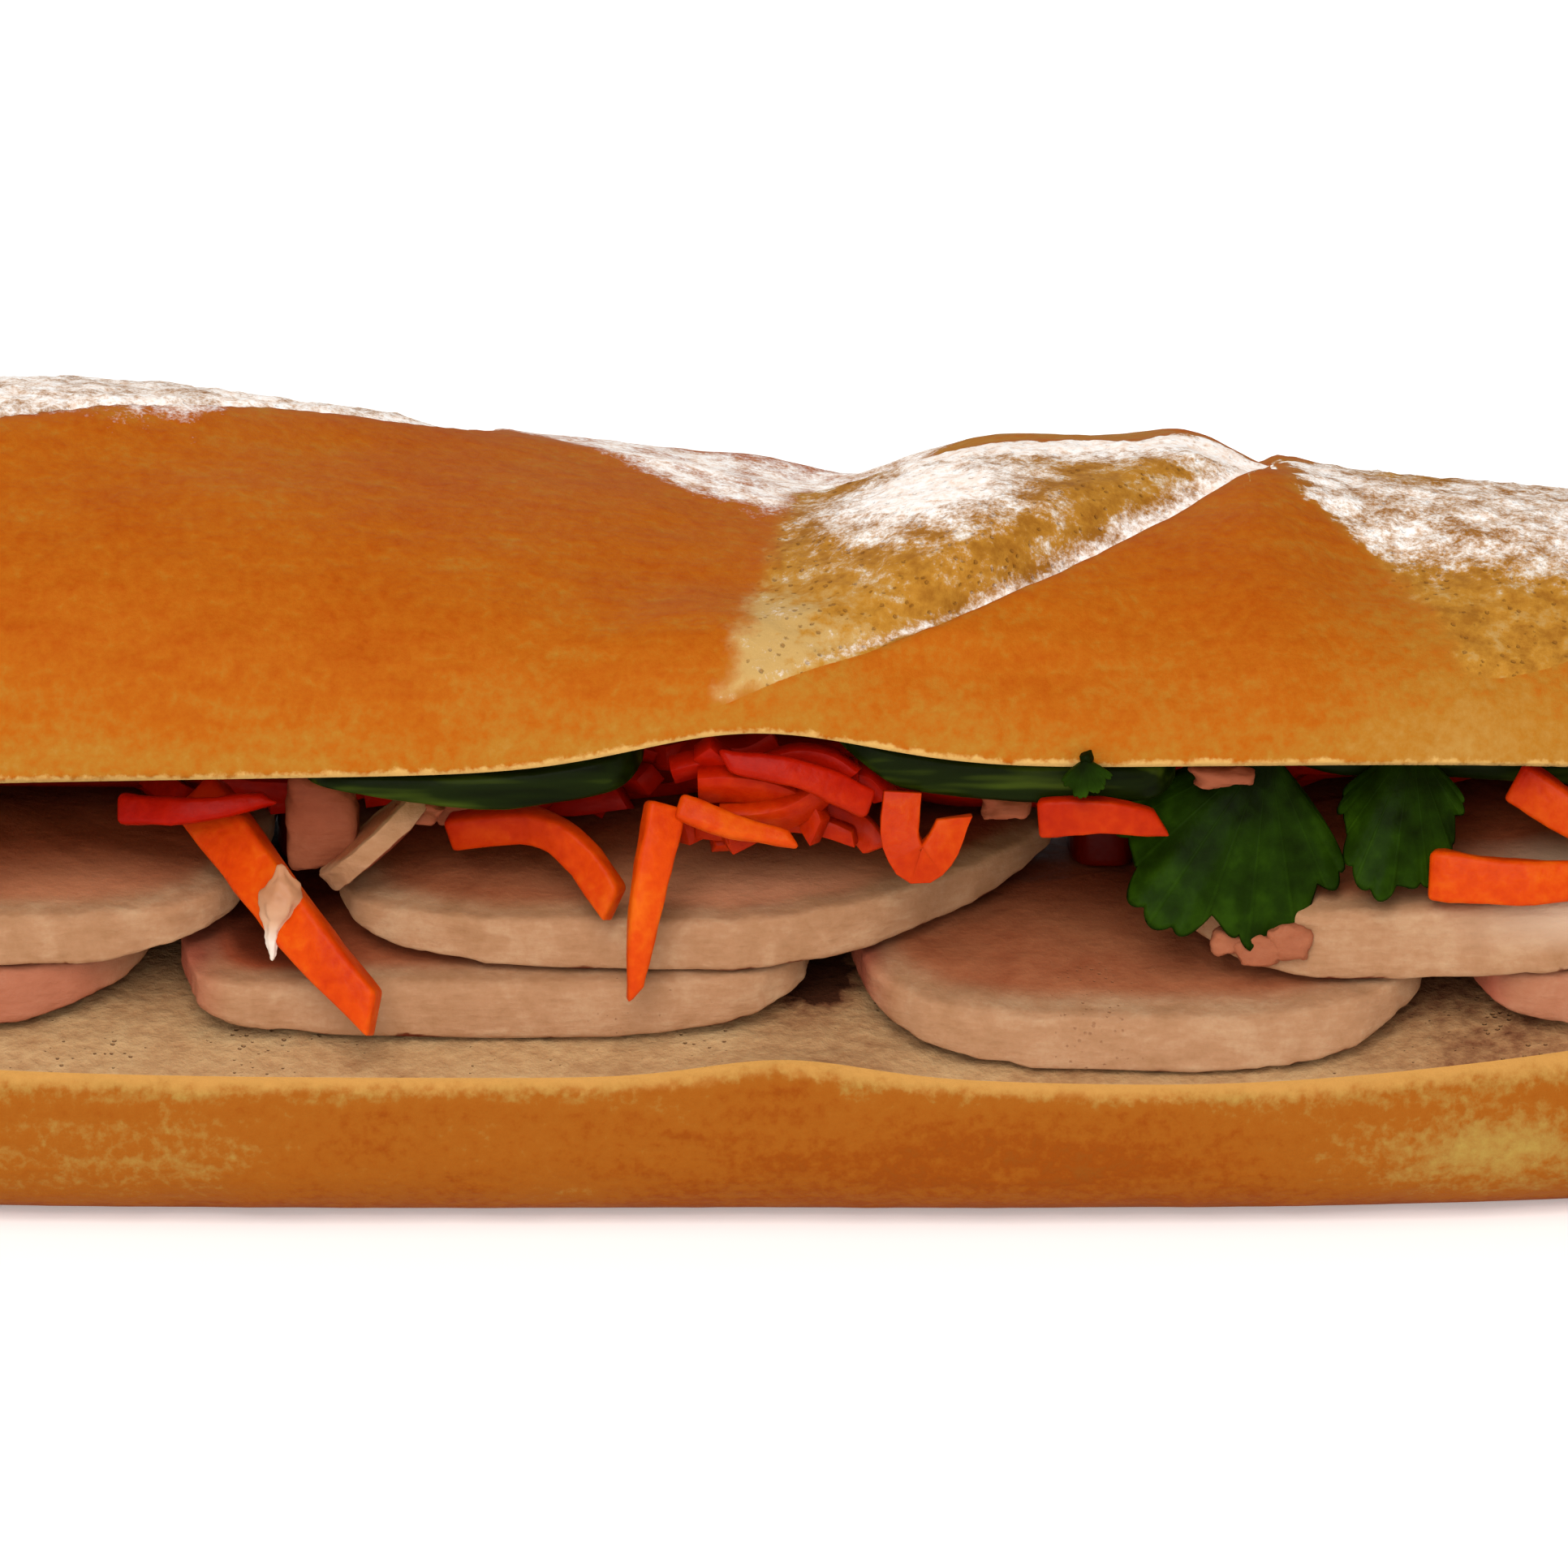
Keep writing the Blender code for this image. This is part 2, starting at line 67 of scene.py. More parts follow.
bpy.ops.object.select_all(action="DESELECT")
back_from_view = Vector((0, -math.cos(VIEW_ELEVATION), math.sin(VIEW_ELEVATION)))
bpy.ops.object.camera_add(
    location=VIEW_CENTRE + back_from_view * VIEW_WIDTH / SENSOR * LENS,
    rotation=(math.pi / 2 - VIEW_ELEVATION, 0, 0),
)
camera = bpy.context.object
camera.data.lens, camera.data.sensor_width = LENS, SENSOR
bpy.context.scene.camera = camera
bpy.context.scene.view_settings.view_transform = "Standard"

# Each lamp: where it stands, its width and its power in watts. It faces the middle of the sandwich.
LAMPS = {
    "soft_box": ((-0.12, -0.82, 0.82), 0.6, 6.4),
    "front_fill": ((-0.1, -1.0, 0.42), 0.5, 4.0),
    "side_reflector": ((0.9, -0.35, 0.35), 0.6, 0.4),
    "back_reflector": ((-0.2, 0.8, 0.8), 0.7, 2.8),
}
for name, (stand, width, power) in LAMPS.items():
    facing = (Vector((0, 0, 0.04)) - Vector(stand)).to_track_quat("-Z", "Y")
    bpy.ops.object.light_add(type="AREA", location=stand, rotation=facing.to_euler())
    lamp = bpy.context.object
    lamp.name = name
    lamp.data.size = width
    lamp.data.energy = power

room = bpy.data.worlds.new("white_room")
bpy.context.scene.world = room
room.use_nodes = True
air = room.node_tree.nodes["Background"]
air.inputs["Color"].default_value = (1.0, 0.99, 0.975, 1.0)
air.inputs["Strength"].default_value = 0.5


def linear(code):
    """The linear colour of an sRGB hex code."""
    shares = [int(code[place : place + 2], 16) / 255 for place in (1, 3, 5)]
    return (*[s / 12.92 if s <= 0.04045 else ((s + 0.055) / 1.055) ** 2.4 for s in shares], 1.0)


def add(tree, kind, inputs=None, stops=None, give=0, **settings):
    """Adds a shader node with its settings, and returns its output of this name or number. Each input, by
    name or number, gets a value or the socket it is fed from, and a colour ramp gets its stops, each a
    place from 0 to 1 and a hex code."""
    made = tree.nodes.new("ShaderNode" + kind)
    for name, value in settings.items():
        setattr(made, name, value)
    for name, value in (inputs or {}).items():
        if isinstance(value, bpy.types.NodeSocket):
            tree.links.new(value, made.inputs[name])
        else:
            made.inputs[name].default_value = value
    for index, (at, code) in enumerate(stops or ()):
        elements = made.color_ramp.elements
        stop = elements[index] if index < 2 else elements.new(at)
        stop.position = at
        stop.color = linear(code)
    return made.outputs[give]


def new_material(name, constants, *fields):
    """(material, its node tree, the value of each of these fields) for a new Principled material with
    these constants on its shader."""
    made = bpy.data.materials.new(name)
    made.use_nodes = True
    tree = made.node_tree
    for socket, value in constants.items():
        tree.nodes["Principled BSDF"].inputs[socket].default_value = value
    return made, tree, *(add(tree, "Attribute", give="Fac", attribute_name=field) for field in fields)


# The table top is a matt white laminate that glows a little, so that shadows on it stay faint.
laminate, *_ = new_material("white_laminate", {
    "Base Color": linear("#f7f6f4"), "Roughness": 0.9,
    "Emission Color": linear("#ffffff"), "Emission Strength": 0.3,
})
TABLE_SIZE = 12.0
TABLE_TOP = -0.2 * MM  # just clear of the bottom of the loaf
bpy.ops.mesh.primitive_plane_add(size=TABLE_SIZE, location=(0, 0, TABLE_TOP))
table = bpy.context.object
table.name = "table_top"
table.data.materials.append(laminate)
table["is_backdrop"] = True

# ---------------------------------------------------------------- the lid
# The top half of a short baguette of wheat dough. Three slashes were cut in its crust before baking:
# the crust lifted along one side of each, and torn, paler dough swelled up between. Flour was sifted
# over it, and it was sawn off the lower half along its cut edge.

HALF_LENGTH = 135 * MM
HALF_WIDTH = 36.5 * MM
UPPER_LIP = 47.5 * MM  # height of the lid's cut edge
UPPER_LIFT = 3.8 * MM  # how far the carrots lift it near the middle
LIFT_AT, LIFT_SPREAD = 9 * MM, 16 * MM
UPPER_TILT = 0.014  # how much it climbs per metre, towards +X
UPPER_SAG = 1.2 * MM  # how much it sinks evenly towards the tips
TIP_DROOP = 14.0 * MM  # how much more it droops at the very tips
LID_RISE = 30.5 * MM  # from the lid's cut edge to its crest, on the left
LID_FALL = 12.2 * MM  # how much lower the crest is on the right
FALL_FROM, FALL_OVER = -76 * MM, 106 * MM
LID_SHOULDER = 2.6 * MM  # how far it stands up between the last two slashes
SHOULDER_AT, SHOULDER_SPREAD = 59.5 * MM, 8 * MM
DOME_POWER = 0.9  # 1 is a half ellipse, and less is squarer
CEILING = 1.5 * MM  # how far the lid's cut face is hollowed
LID_TIP = 4 * MM
# Each slash, in mm: its front corner, how far its lip runs before it reaches the crest, the power of its
# bow and the most it may run, the same with the least for its other edge, how far the torn dough swells,
# and how deep the crust dips beside it.
SLASHES = [
    (-118, -30, 78.5, 1.0, 98, 8.5, 0.5, 0, 1.5, 4.5),
    (4, -36.3, 58, 0.526, 57, 7, 0.5, 0, 4.6, 4.5),
    (76.5, -31.5, 42, 0.5, 60, -22.4, 1.4, -15, 0.5, 0.6),
]
SLASH_MIDDLE = 12 * MM
SLASH_BACK = 31 * MM
SLASH_END = 14 * MM
WANDER = 1.3  # how far its edges wander near the crest, in mm
WANDER_LENGTH = 2.4 * MM
WANDER_FROM = 7 * MM
DIP_SPREAD = 11.5 * MM
DIP_RUN = 16 * MM  # how far the dip runs out into the whole crust
MOUND_LEFT = 25 * MM
MOUND_RIGHT = 11 * MM
EAR = 2.6 * MM
EAR_STEP = 1.7 * MM
EAR_SLOPE = 17 * MM
EAR_DOWN = 10 * MM  # where the ears lie down, behind the crest
EAR_DOWN_SPREAD = 12 * MM
EAR_DOWN_SHARE = 0.6
CORNER_SHARPNESS = 4  # how much faster a slash opens at its front corner than at its back
FIELD_REACH = 6.0  # how far the distances kept on the crust run, in mm
WEIGHT_STEPS = 20  # how finely the points of a piece are weighed


def bell(distance, spread):
    """1 at no distance, falling to nothing over a few spreads."""
    return np.exp(-((distance / spread) ** 2))


def ease(value):
    """0 below 0, 1 above 1, and smooth between."""
    t = np.clip(value, 0.0, 1.0)
    return t * t * (3 - 2 * t)


def bowed(value, power):
    """A value between -1 and 1 raised to a power, with its sign kept."""
    return np.sign(value) * np.abs(value) ** power


def plan_share(x, power=4.0):
    """The loaf's outline from above: 1 in the middle, 0 at the tips."""
    return np.sqrt(np.maximum(0.0, 1 - np.abs(x / HALF_LENGTH) ** power))


def upper_lip(x):
    """The height of the lid's cut edge."""
    share = np.abs(x / HALF_LENGTH)
    lifted = UPPER_LIFT * bell(x - LIFT_AT, LIFT_SPREAD) + UPPER_TILT * x
    return UPPER_LIP + lifted - UPPER_SAG * share**2 - TIP_DROOP * share**6


def crest_rise(x):
    """How far the lid's crest lies above its cut edge, without the slashes."""
    fallen = LID_FALL * ease((x - FALL_FROM) / FALL_OVER)
    return LID_RISE - fallen + LID_SHOULDER * bell(x - SHOULDER_AT, SHOULDER_SPREAD)


def ceiling_height(x, y):
    """The lid's cut face."""
    return upper_lip(x) + CEILING * (1 - (y / HALF_WIDTH) ** 2)


def towards_tip(x, height, tip_height):
    """Draws a section's height in to the tip's over the last stretch of the loaf."""
    return tip_height + (height - tip_height) * np.minimum(1.0, 1.05 * plan_share(x, 8.0))


def slash_edges(y, corner_x, corner_y, reach, bow, most, lean, lean_bow, least):
    """(left edge, right lip) of a slash at this y. Its back part is the front part turned round."""

    def front(depth):
        share = np.maximum(0.0, 1 - depth / (corner_y * MM))
        wander = WANDER * np.sin(depth / WANDER_LENGTH + corner_x) * ease(depth / WANDER_FROM)
        left = np.maximum(lean * share**lean_bow, least) + wander
        return left * MM, (np.minimum(reach * share**bow, most) + wander) * MM

    left, lip = front(y)
    turned_left, turned_lip = front(2 * SLASH_MIDDLE - y)
    across = sum(front(SLASH_MIDDLE))
    behind = y > SLASH_MIDDLE
    left = np.where(behind, across - turned_lip, left)
    lip = np.where(behind, across - turned_left, lip)
    return corner_x * MM + left, corner_x * MM + lip


def slash_fields(x, y):
    """(relief, mm past the left edge, mm past the lip, index of the slash) at each point."""
    relief, nearest = np.zeros_like(x), np.zeros_like(x)
    inside = np.full_like(x, -np.inf)
    past_left, past_lip = np.full_like(x, -1.0), np.full_like(x, -1.0)
    for index, (*edges, mound, dip) in enumerate(SLASHES):
        from_front, from_back = y - edges[1] * MM, SLASH_BACK - y
        within = (from_front > 0) & (from_back > 0)
        left, lip = slash_edges(y, *edges)
        opened = ease(np.minimum(from_front, from_back) / SLASH_END) * within
        relief -= dip * MM * opened * bell(x - left, np.where(x < left, DIP_RUN, DIP_SPREAD))
        swollen = ease(np.minimum((x - left) / MOUND_LEFT, (lip - x) / MOUND_RIGHT))
        relief += mound * MM * opened * swollen
        beyond = x - lip - EAR_STEP
        slope = np.where(beyond > 0, EAR_SLOPE, EAR_STEP)
        raised = ease(3 * opened) * (1 - EAR_DOWN_SHARE * bell(y - EAR_DOWN, EAR_DOWN_SPREAD))
        relief += EAR * raised * bell(beyond, slope)
        depth = np.where(within, np.minimum(x - left, lip - x), -1.0)
        closer = depth > inside
        inside = np.where(closer, depth, inside)
        ends = np.minimum(CORNER_SHARPNESS * from_front, from_back)
        past_left = np.where(closer, np.minimum(x - left, ends), past_left)
        past_lip = np.where(closer, x - lip, past_lip)
        nearest = np.where(closer, index, nearest)
    return relief, past_left / MM, past_lip / MM, nearest


def values_of(items, name, kind=np.float32, each=1):
    """The values with this name of a mesh's items, so many for each."""
    values = np.empty(len(items) * each, kind)
    items.foreach_get(name, values)
    return values


def shaped_ball(name, segments, rings, shape, *sizes, halvings=0):
    """A ball whose every point on the unit sphere is moved by shape to its place on the food. shape also
    gives the fields that the materials read, by name. Each halving first cuts the ball's faces in four."""
    bpy.ops.mesh.primitive_uv_sphere_add(segments=segments, ring_count=rings, radius=1.0)
    piece = bpy.context.object
    piece.name = piece.data.name = name
    if halvings:
        finer = piece.modifiers.new("finer", "SUBSURF")
        finer.subdivision_type = "SIMPLE"
        finer.levels = finer.render_levels = halvings
        bpy.ops.object.modifier_apply(modifier=finer.name)
    points = values_of(piece.data.vertices, "co", float, 3).reshape(-1, 3)
    placed, fields = shape(points / np.linalg.norm(points, axis=1)[:, None], *sizes)
    piece.data.vertices.foreach_set("co", np.stack(placed, axis=1).ravel())
    for field, values in fields.items():
        kept = piece.data.attributes.new(field, "FLOAT", "POINT")
        kept.data.foreach_set("value", values.astype(np.float32))
    piece.data.update()
    piece.data.shade_smooth()
    return piece


def roughen(piece, size, depth, group="", detail=2):
    """Moves a piece's surface in and out by clouds of this size, and applies it."""
    clouds = bpy.data.textures.new(piece.name + "_relief", "CLOUDS")
    clouds.noise_scale, clouds.noise_depth = size, detail
    moved = piece.modifiers.new("relief", "DISPLACE")
    moved.texture = clouds
    moved.texture_coords = "LOCAL"
    moved.strength, moved.mid_level = depth, 0.5
    moved.vertex_group = group
    bpy.context.view_layer.objects.active = piece
    bpy.ops.object.modifier_apply(modifier=moved.name)
    bpy.data.textures.remove(clouds)


def weigh(piece, name, weights):
    """Gives the piece a vertex group with a weight for each point."""
    group = piece.vertex_groups.new(name=name)
    steps = np.round(np.clip(weights, 0, 1) * WEIGHT_STEPS).astype(int)
    for step in np.unique(steps[steps > 0]):
        group.add(np.flatnonzero(steps == step).tolist(), float(step) / WEIGHT_STEPS, "REPLACE")


def serve(piece, slot, nodes, *materials):
    """Fixes a finished piece to the sandwich, in place of the solids it stands for."""
    for material in materials:
        piece.data.materials.append(material)
    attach(piece, "root")
    if nodes:
        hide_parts(*nodes)


def latitude_of(points):
    """-1 at the unit sphere's lower pole, 0 at its equator and 1 at its upper pole."""
    return np.arcsin(np.clip(points[:, 2], -1, 1)) / (np.pi / 2)


def turn_of(points):
    """The angle about the unit sphere's axis, from -pi to pi."""
    return np.arctan2(points[:, 1], points[:, 0])


def along_loaf(points, upper_share):
    """(x, turn) of points on the unit sphere whose poles are the loaf's tips. turn is 0 at the back lip
    and half a turn at the front lip, positive above them and negative below."""
    latitude = latitude_of(points)
    x = HALF_LENGTH * (0.75 * latitude + 0.25 * np.sin(latitude * np.pi / 2))
    share = turn_of(points) / (2 * np.pi) % 1.0
    share = np.where(share > 1 - 1e-6, 0.0, share)
    above = np.pi * np.minimum(1.0, share / upper_share)
    below = -np.pi * (1 - share) / (1 - upper_share)
    return x, np.where(share <= upper_share + 1e-6, above, below)


LID_SEGMENTS = 54  # halved twice, as are its rings
LID_RINGS = 100
LID_UPPER_SHARE = 26 / 36


def lid_shape(points):
    """The domed, slashed crust over the hollowed cut face."""
    x, turn = along_loaf(points, LID_UPPER_SHARE)
    y = HALF_WIDTH * plan_share(x) * np.cos(turn)
    tip = upper_lip(x) + LID_TIP
    rise = crest_rise(x)
    height = rise * np.maximum(0.0, np.sin(turn)) ** DOME_POWER
    outwards = np.stack([y / HALF_WIDTH**2, height / rise**2])
    outwards /= np.maximum(1e-9, np.linalg.norm(outwards, axis=0))
    relief, past_left, past_lip, nearest = slash_fields(x, y)
    kept = plan_share(x, 6.0) * ease(1.4 * np.sin(turn))
    shift = outwards * relief * kept
    dome = towards_tip(x, upper_lip(x) + height + shift[1], tip)
    z = np.where(turn > 0, dome, towards_tip(x, ceiling_height(x, y), tip))
    placed = x, np.where(turn > 0, y + shift[0], y), z

    along, across, up = x / MM, y / MM, height / MM
    # Flour on the whole crust: from where on the crest it lies. It is thin on the left and at the back.
    floured_from = 24 - 30 * ease((-32 - along) / 16) - 28 * bell(along - 10, 21) + 5 * bell(along - 40, 17)
    dust = np.minimum(0.8 * (across - floured_from), 1.0 + 1.0 * ease((along + 25) / 20))
    dust -= 5.5 * ease((across - 19) / 15)
    # Flour on the torn dough of each slash. In the middle one it lies in a band behind and a patch on the
    # left, and the crust behind it is bare. In the last it is thin.
    band = 8.0 * bell(across - 4.5, 6) * ease((along - 20) / 8)
    spot = 8 * bell(along - 26, 11) * bell(across + 8, 11)
    thin = np.minimum(0.5, 0.5 * (across + 15)) + 2 * bell(along - 65, 6) * bell(across - 4, 10)
    thin -= 3 * bell(along - 75, 5) * bell(across - 11, 6)
    sifted = np.choose(nearest.astype(int), [1.6 + 0 * across, np.maximum(band, spot) - 3.2, thin])
    past_left = np.where(nearest == 1, np.minimum(past_left, 2.0 * (9.0 - across)), past_left)
    lip_dust = 4.6 - 1.5 * np.abs(past_lip + 1.6) - 0.24 * np.maximum(0, -12 - across) - 5 * (nearest == 2)
    sifted = np.maximum(sifted, lip_dust)
    distances = {"past_left": past_left, "past_lip": past_lip, "dust": dust, "sifted": sifted}
    fields = {name: np.clip(field, -FIELD_REACH, FIELD_REACH) for name, field in distances.items()}
    fields["rim"] = np.where(turn > 0, up, 0.0)
    paler = 0.18 * ease((along - 55) / 30) + 0.18 * bell(up - 1, 6)
    fields["bake"] = 0.55 - paler - 0.28 * bell(across - 13, 5) * bell(along - 36, 22)
    fields["pale"] = 0.5 * bell(across + 33, 7) * bell(along - 8, 9)
    return placed, fields


lid = shaped_ball("bread_lid_crust", LID_SEGMENTS, LID_RINGS, lid_shape, halvings=2)
heights, past_left, past_lip = (
    values_of(lid.data.attributes[name].data, "value") for name in ("rim", "past_left", "past_lip")
)
crust_share = ease(heights / 3)
weigh(lid, "crust", crust_share)
weigh(lid, "torn", crust_share * ease(past_left / 3) * ease(-past_lip))
roughen(lid, 11 * MM, 0.9 * MM, "crust")
roughen(lid, 2.6 * MM, 0.22 * MM, "crust", 3)
roughen(lid, 2.4 * MM, 0.9 * MM, "torn", 3)


def summed(tree, start, *terms):
    """start plus, for each (socket, middle, weight), the weight times the socket's step from its middle."""
    total = start
    for socket, middle, weight in terms:
        shifted = add(tree, "Math", {0: socket, 1: middle}, operation="SUBTRACT")
        total = add(tree, "Math", {0: shifted, 1: weight, 2: total}, operation="MULTIPLY_ADD")
    return total


def finish_material(tree, colour, strength, *relief):
    """Links a material's colour and its bumps, whose terms are those of summed, in mm."""
    height = summed(tree, 0.0, *relief)
    bump = add(tree, "Bump", {"Strength": strength, "Distance": MM, "Height": height})
    shader = tree.nodes["Principled BSDF"]
    tree.links.new(colour, shader.inputs["Base Color"])
    tree.links.new(bump, shader.inputs["Normal"])


# Settings for a MapRange that eases in and out, and for a Mix of colours.
SMOOTH = {"interpolation_type": "SMOOTHSTEP"}
COLOURS = {"give": 2, "data_type": "RGBA"}

# Wheat crust baked in a deck oven: a matt, faintly wrinkled skin whose colour runs from pale gold where
# it met the cut to deep orange-brown, and is duller below, where it stood on the deck. The slashes hold
# torn dough with open pores, and flour is sifted over the top.
CRUST_COLOURS = [(0.0, "#aa7d3a"), (0.28, "#a36a20"), (0.5, "#a6570e"), (0.72, "#a04907"), (1.0, "#823504")]
DECK_COLOURS = [
    (0.10, "#a5853f"), (0.28, "#9e7434"), (0.46, "#975516"), (0.60, "#955113"), (0.75, "#8c430c"),
    (0.90, "#884812"),
]
TORN_COLOURS = [(0.25, "#945e1c"), (0.5, "#ad7729"), (0.75, "#b79257")]
FLOUR_COLOURS = [(0.2, "#ecd0bb"), (0.5, "#f8ece2"), (0.75, "#fdf9f5")]
crust, tree, past_left, past_lip, dust, sifted, rim, bake, pale, deck = new_material(
    "baked_wheat_crust", {"Specular IOR Level": 0.02},
    "past_left", "past_lip", "dust", "sifted", "rim", "bake", "pale", "deck",
)
place = add(tree, "TexCoord", give="Object")
drawn = add(tree, "Mapping", {"Vector": place, "Scale": (0.28, 1.0, 1.0)})
mottle, broad, streak, grain, patch = (
    add(tree, "TexNoise", {"Vector": at, "Scale": 1 / (size * MM), "Detail": detail, "Roughness": rough})
    for at, size, detail, rough in (
        (place, 1.2, 4, 0.62), (place, 17, 2, 0.5), (drawn, 2.4, 3, 0.5), (place, 0.42, 3, 0.7),
        (place, 3.4, 3, 0.5),
    )
)
baked = summed(tree, bake, (mottle, 0.5, 0.65), (broad, 0.5, 0.35), (streak, 0.5, 0.35))
surface = add(tree, "ValToRGB", {0: baked}, stops=CRUST_COLOURS)
on_deck = add(tree, "ValToRGB", {0: baked}, stops=DECK_COLOURS)

# Torn dough shows only between a slash's left edge, which is ragged, and its lip, which is clean.
PORE = 1.1 * MM
opening = summed(tree, past_left, (patch, 0.5, 5.0), (mottle, 0.5, 3.0))
opened = add(tree, "MapRange", {0: opening, 1: 0.0, 2: 3.2}, **SMOOTH)
before_lip = summed(tree, past_lip, (grain, 0.5, 0.5))
before_lip = add(tree, "MapRange", {0: before_lip, 1: 0.12, 2: -0.12}, **SMOOTH)
torn_share = add(tree, "Math", {0: opened, 1: before_lip}, operation="MULTIPLY")
torn_tone = summed(tree, 0.45, (patch, 0.5, 0.9), (mottle, 0.5, 0.8), (pale, 0.0, 1.0))
torn_dough = add(tree, "ValToRGB", {0: torn_tone}, stops=TORN_COLOURS)
pores = add(tree, "TexVoronoi", {"Vector": place, "Scale": 1 / PORE})
pore_edge = summed(tree, pores, (grain, 0.5, -0.5))
pore_share = add(tree, "MapRange", {0: pore_edge, 1: 0.26, 2: 0.06, 4: 0.6}, **SMOOTH)
torn_dough = add(tree, "Mix", {0: pore_share, 6: torn_dough, 7: linear("#7e4c1c")}, **COLOURS)

# The sawn rim is the crust's own thickness seen edge on: a thin line on the lid, softer and wider below.
rim_line = summed(tree, rim, (mottle, 0.5, 1.6), (patch, 0.5, 1.2))
rim_reach = summed(tree, 0.7, (deck, 0.0, 1.4))
rim_share = add(tree, "MapRange", {0: rim_line, 1: rim_reach, 2: 0.15}, **SMOOTH)
rim_colour = add(tree, "Mix", {0: deck, 6: linear("#c79b58"), 7: linear("#bd8845")}, **COLOURS)

# Flour lies where it was sifted, thick by the lips, and thins out in specks.
flour_field = add(tree, "Mix", {0: torn_share, 2: dust, 3: sifted}, data_type="FLOAT")
flour_edge = summed(tree, flour_field, (grain, 0.5, 7.0), (patch, 0.5, 9.0), (mottle, 0.5, 5.0))
flour_share = add(tree, "MapRange", {0: flour_edge, 1: -2.2, 2: 3.2}, **SMOOTH)
flour_tone = summed(tree, 0.5, (mottle, 0.5, 1.6), (grain, 0.5, 0.8))
flour = add(tree, "ValToRGB", {0: flour_tone}, stops=FLOUR_COLOURS)
layers = ((deck, on_deck), (torn_share, torn_dough), (rim_share, rim_colour), (flour_share, flour))
for share, layer in layers:
    surface = add(tree, "Mix", {0: share, 6: surface, 7: layer}, **COLOURS)

rough = add(tree, "MapRange", {0: flour_share, 3: 0.55, 4: 0.95})
tree.links.new(rough, tree.nodes["Principled BSDF"].inputs["Roughness"])
pitted = add(tree, "Math", {0: pore_share, 1: torn_share}, operation="MULTIPLY")
finish_material(
    tree, surface, 0.8, (mottle, 0.5, 0.22), (streak, 0.5, 0.25), (flour_share, 0.0, 0.12),
    (grain, 0.5, 0.05), (pitted, 0.0, -0.35),
)

# Wheat crumb: soft, matt and close-grained, a little greyer than its crust, with clusters of small open
# holes, dark where juices have soaked in on the right, and with painted shade in the dark hole between two
# lower slices.
CRUMB_COLOURS = [(0.0, "#4a2716"), (0.08, "#7a4c30"), (0.28, "#a1754d"), (0.5, "#b58c60"), (0.8, "#c7a374")]
crumb, tree, moist = new_material("wheat_crumb", {
    "Roughness": 0.85, "Specular IOR Level": 0.1,
    "Subsurface Weight": 0.08, "Subsurface Radius": (2.0 * MM, 1.2 * MM, 0.7 * MM),
}, "moist")
place = add(tree, "TexCoord", give="Object")
web = add(tree, "TexNoise", {"Vector": place, "Scale": 1 / (1.6 * MM), "Detail": 4.0, "Roughness": 0.6})
clusters = add(tree, "TexNoise", {"Vector": place, "Scale": 1 / (13 * MM), "Detail": 2.0})
holes = add(tree, "TexVoronoi", {"Vector": place, "Scale": 1 / (1.0 * MM)})
hole_edge = summed(tree, holes, (web, 0.5, -0.6), (clusters, 0.62, -1.2))
hole_share = add(tree, "MapRange", {0: hole_edge, 1: 0.2, 2: 0.04, 4: 0.7}, **SMOOTH)
tone = summed(tree, 0.5, (web, 0.5, 0.7), (clusters, 0.5, 0.8), (moist, 0.0, -0.45))
tone = add(tree, "ValToRGB", {0: tone}, stops=CRUMB_COLOURS)
tone = add(tree, "Mix", {0: hole_share, 6: tone, 7: linear("#8a5c36")}, **COLOURS)
finish_material(tree, tone, 0.9, (hole_share, 0.0, -0.5), (web, 0.5, 0.5))


def serve_half(piece, node):
    """Serves a half of the loaf: crumb on each face whose corners all lie on the cut, and crust elsewhere."""
    serve(piece, "crust", [node], crust, crumb)
    corners = values_of(piece.data.loops, "vertex_index", np.int32)
    starts = values_of(piece.data.polygons, "loop_start", np.int32)
    from_cut = values_of(piece.data.attributes["rim"].data, "value")[corners]
    sawn = np.add.reduceat(from_cut, starts) <= 0.0
    piece.data.polygons.foreach_set("material_index", sawn.astype(np.int32))


serve_half(lid, "bread_lid")

# ---------------------------------------------------------------- the lower half
# The bottom half of the same loaf: crust on the sides and on the flat bottom that lay on the oven's
# deck, and a sawn face of open crumb, crowned in the middle, that carries the whole filling.

LOWER_LIP = 16.4 * MM  # height of the lower half's cut edge
LOWER_DIP = 1.0 * MM  # how much it sinks under the heaviest slice
LOWER_DIP_AT, LOWER_DIP_SPREAD = 55 * MM, 25 * MM
LOWER_TIP_RISE = 2.5 * MM  # how much it rises at the tips
CROWN = 7.0 * MM  # how far the lower crumb bulges in the middle
SWELL = 1.9 * MM  # how far the crumb's edges swell up under the carrots
SWELL_AT, SWELL_SPREAD = 12 * MM, 11 * MM
BASE_TIP = 13 * MM
SIDE_SQUARENESS = 0.48
FLOOR_SHARE = 1.08
BASE_SEGMENTS = 48  # halved twice, as are its rings
BASE_RINGS = 100
BASE_UPPER_SHARE = 8 / 24


def lower_lip(x):
    """The height of the lower half's cut edge."""
    dip = LOWER_DIP * bell(x - LOWER_DIP_AT, LOWER_DIP_SPREAD)
    return LOWER_LIP - dip + LOWER_TIP_RISE * np.abs(x / HALF_LENGTH) ** 4


def crumb_height(x, y):
    """The lower half's cut face, which every layer of the filling follows."""
    return lower_lip(x) + CROWN * (1 - (y / HALF_WIDTH) ** 2)


def edge_swell(x, y):
    """How far the crumb's outermost edge swells above that face."""
    return SWELL * bell(x - SWELL_AT, SWELL_SPREAD) * np.abs(y / HALF_WIDTH) ** 8


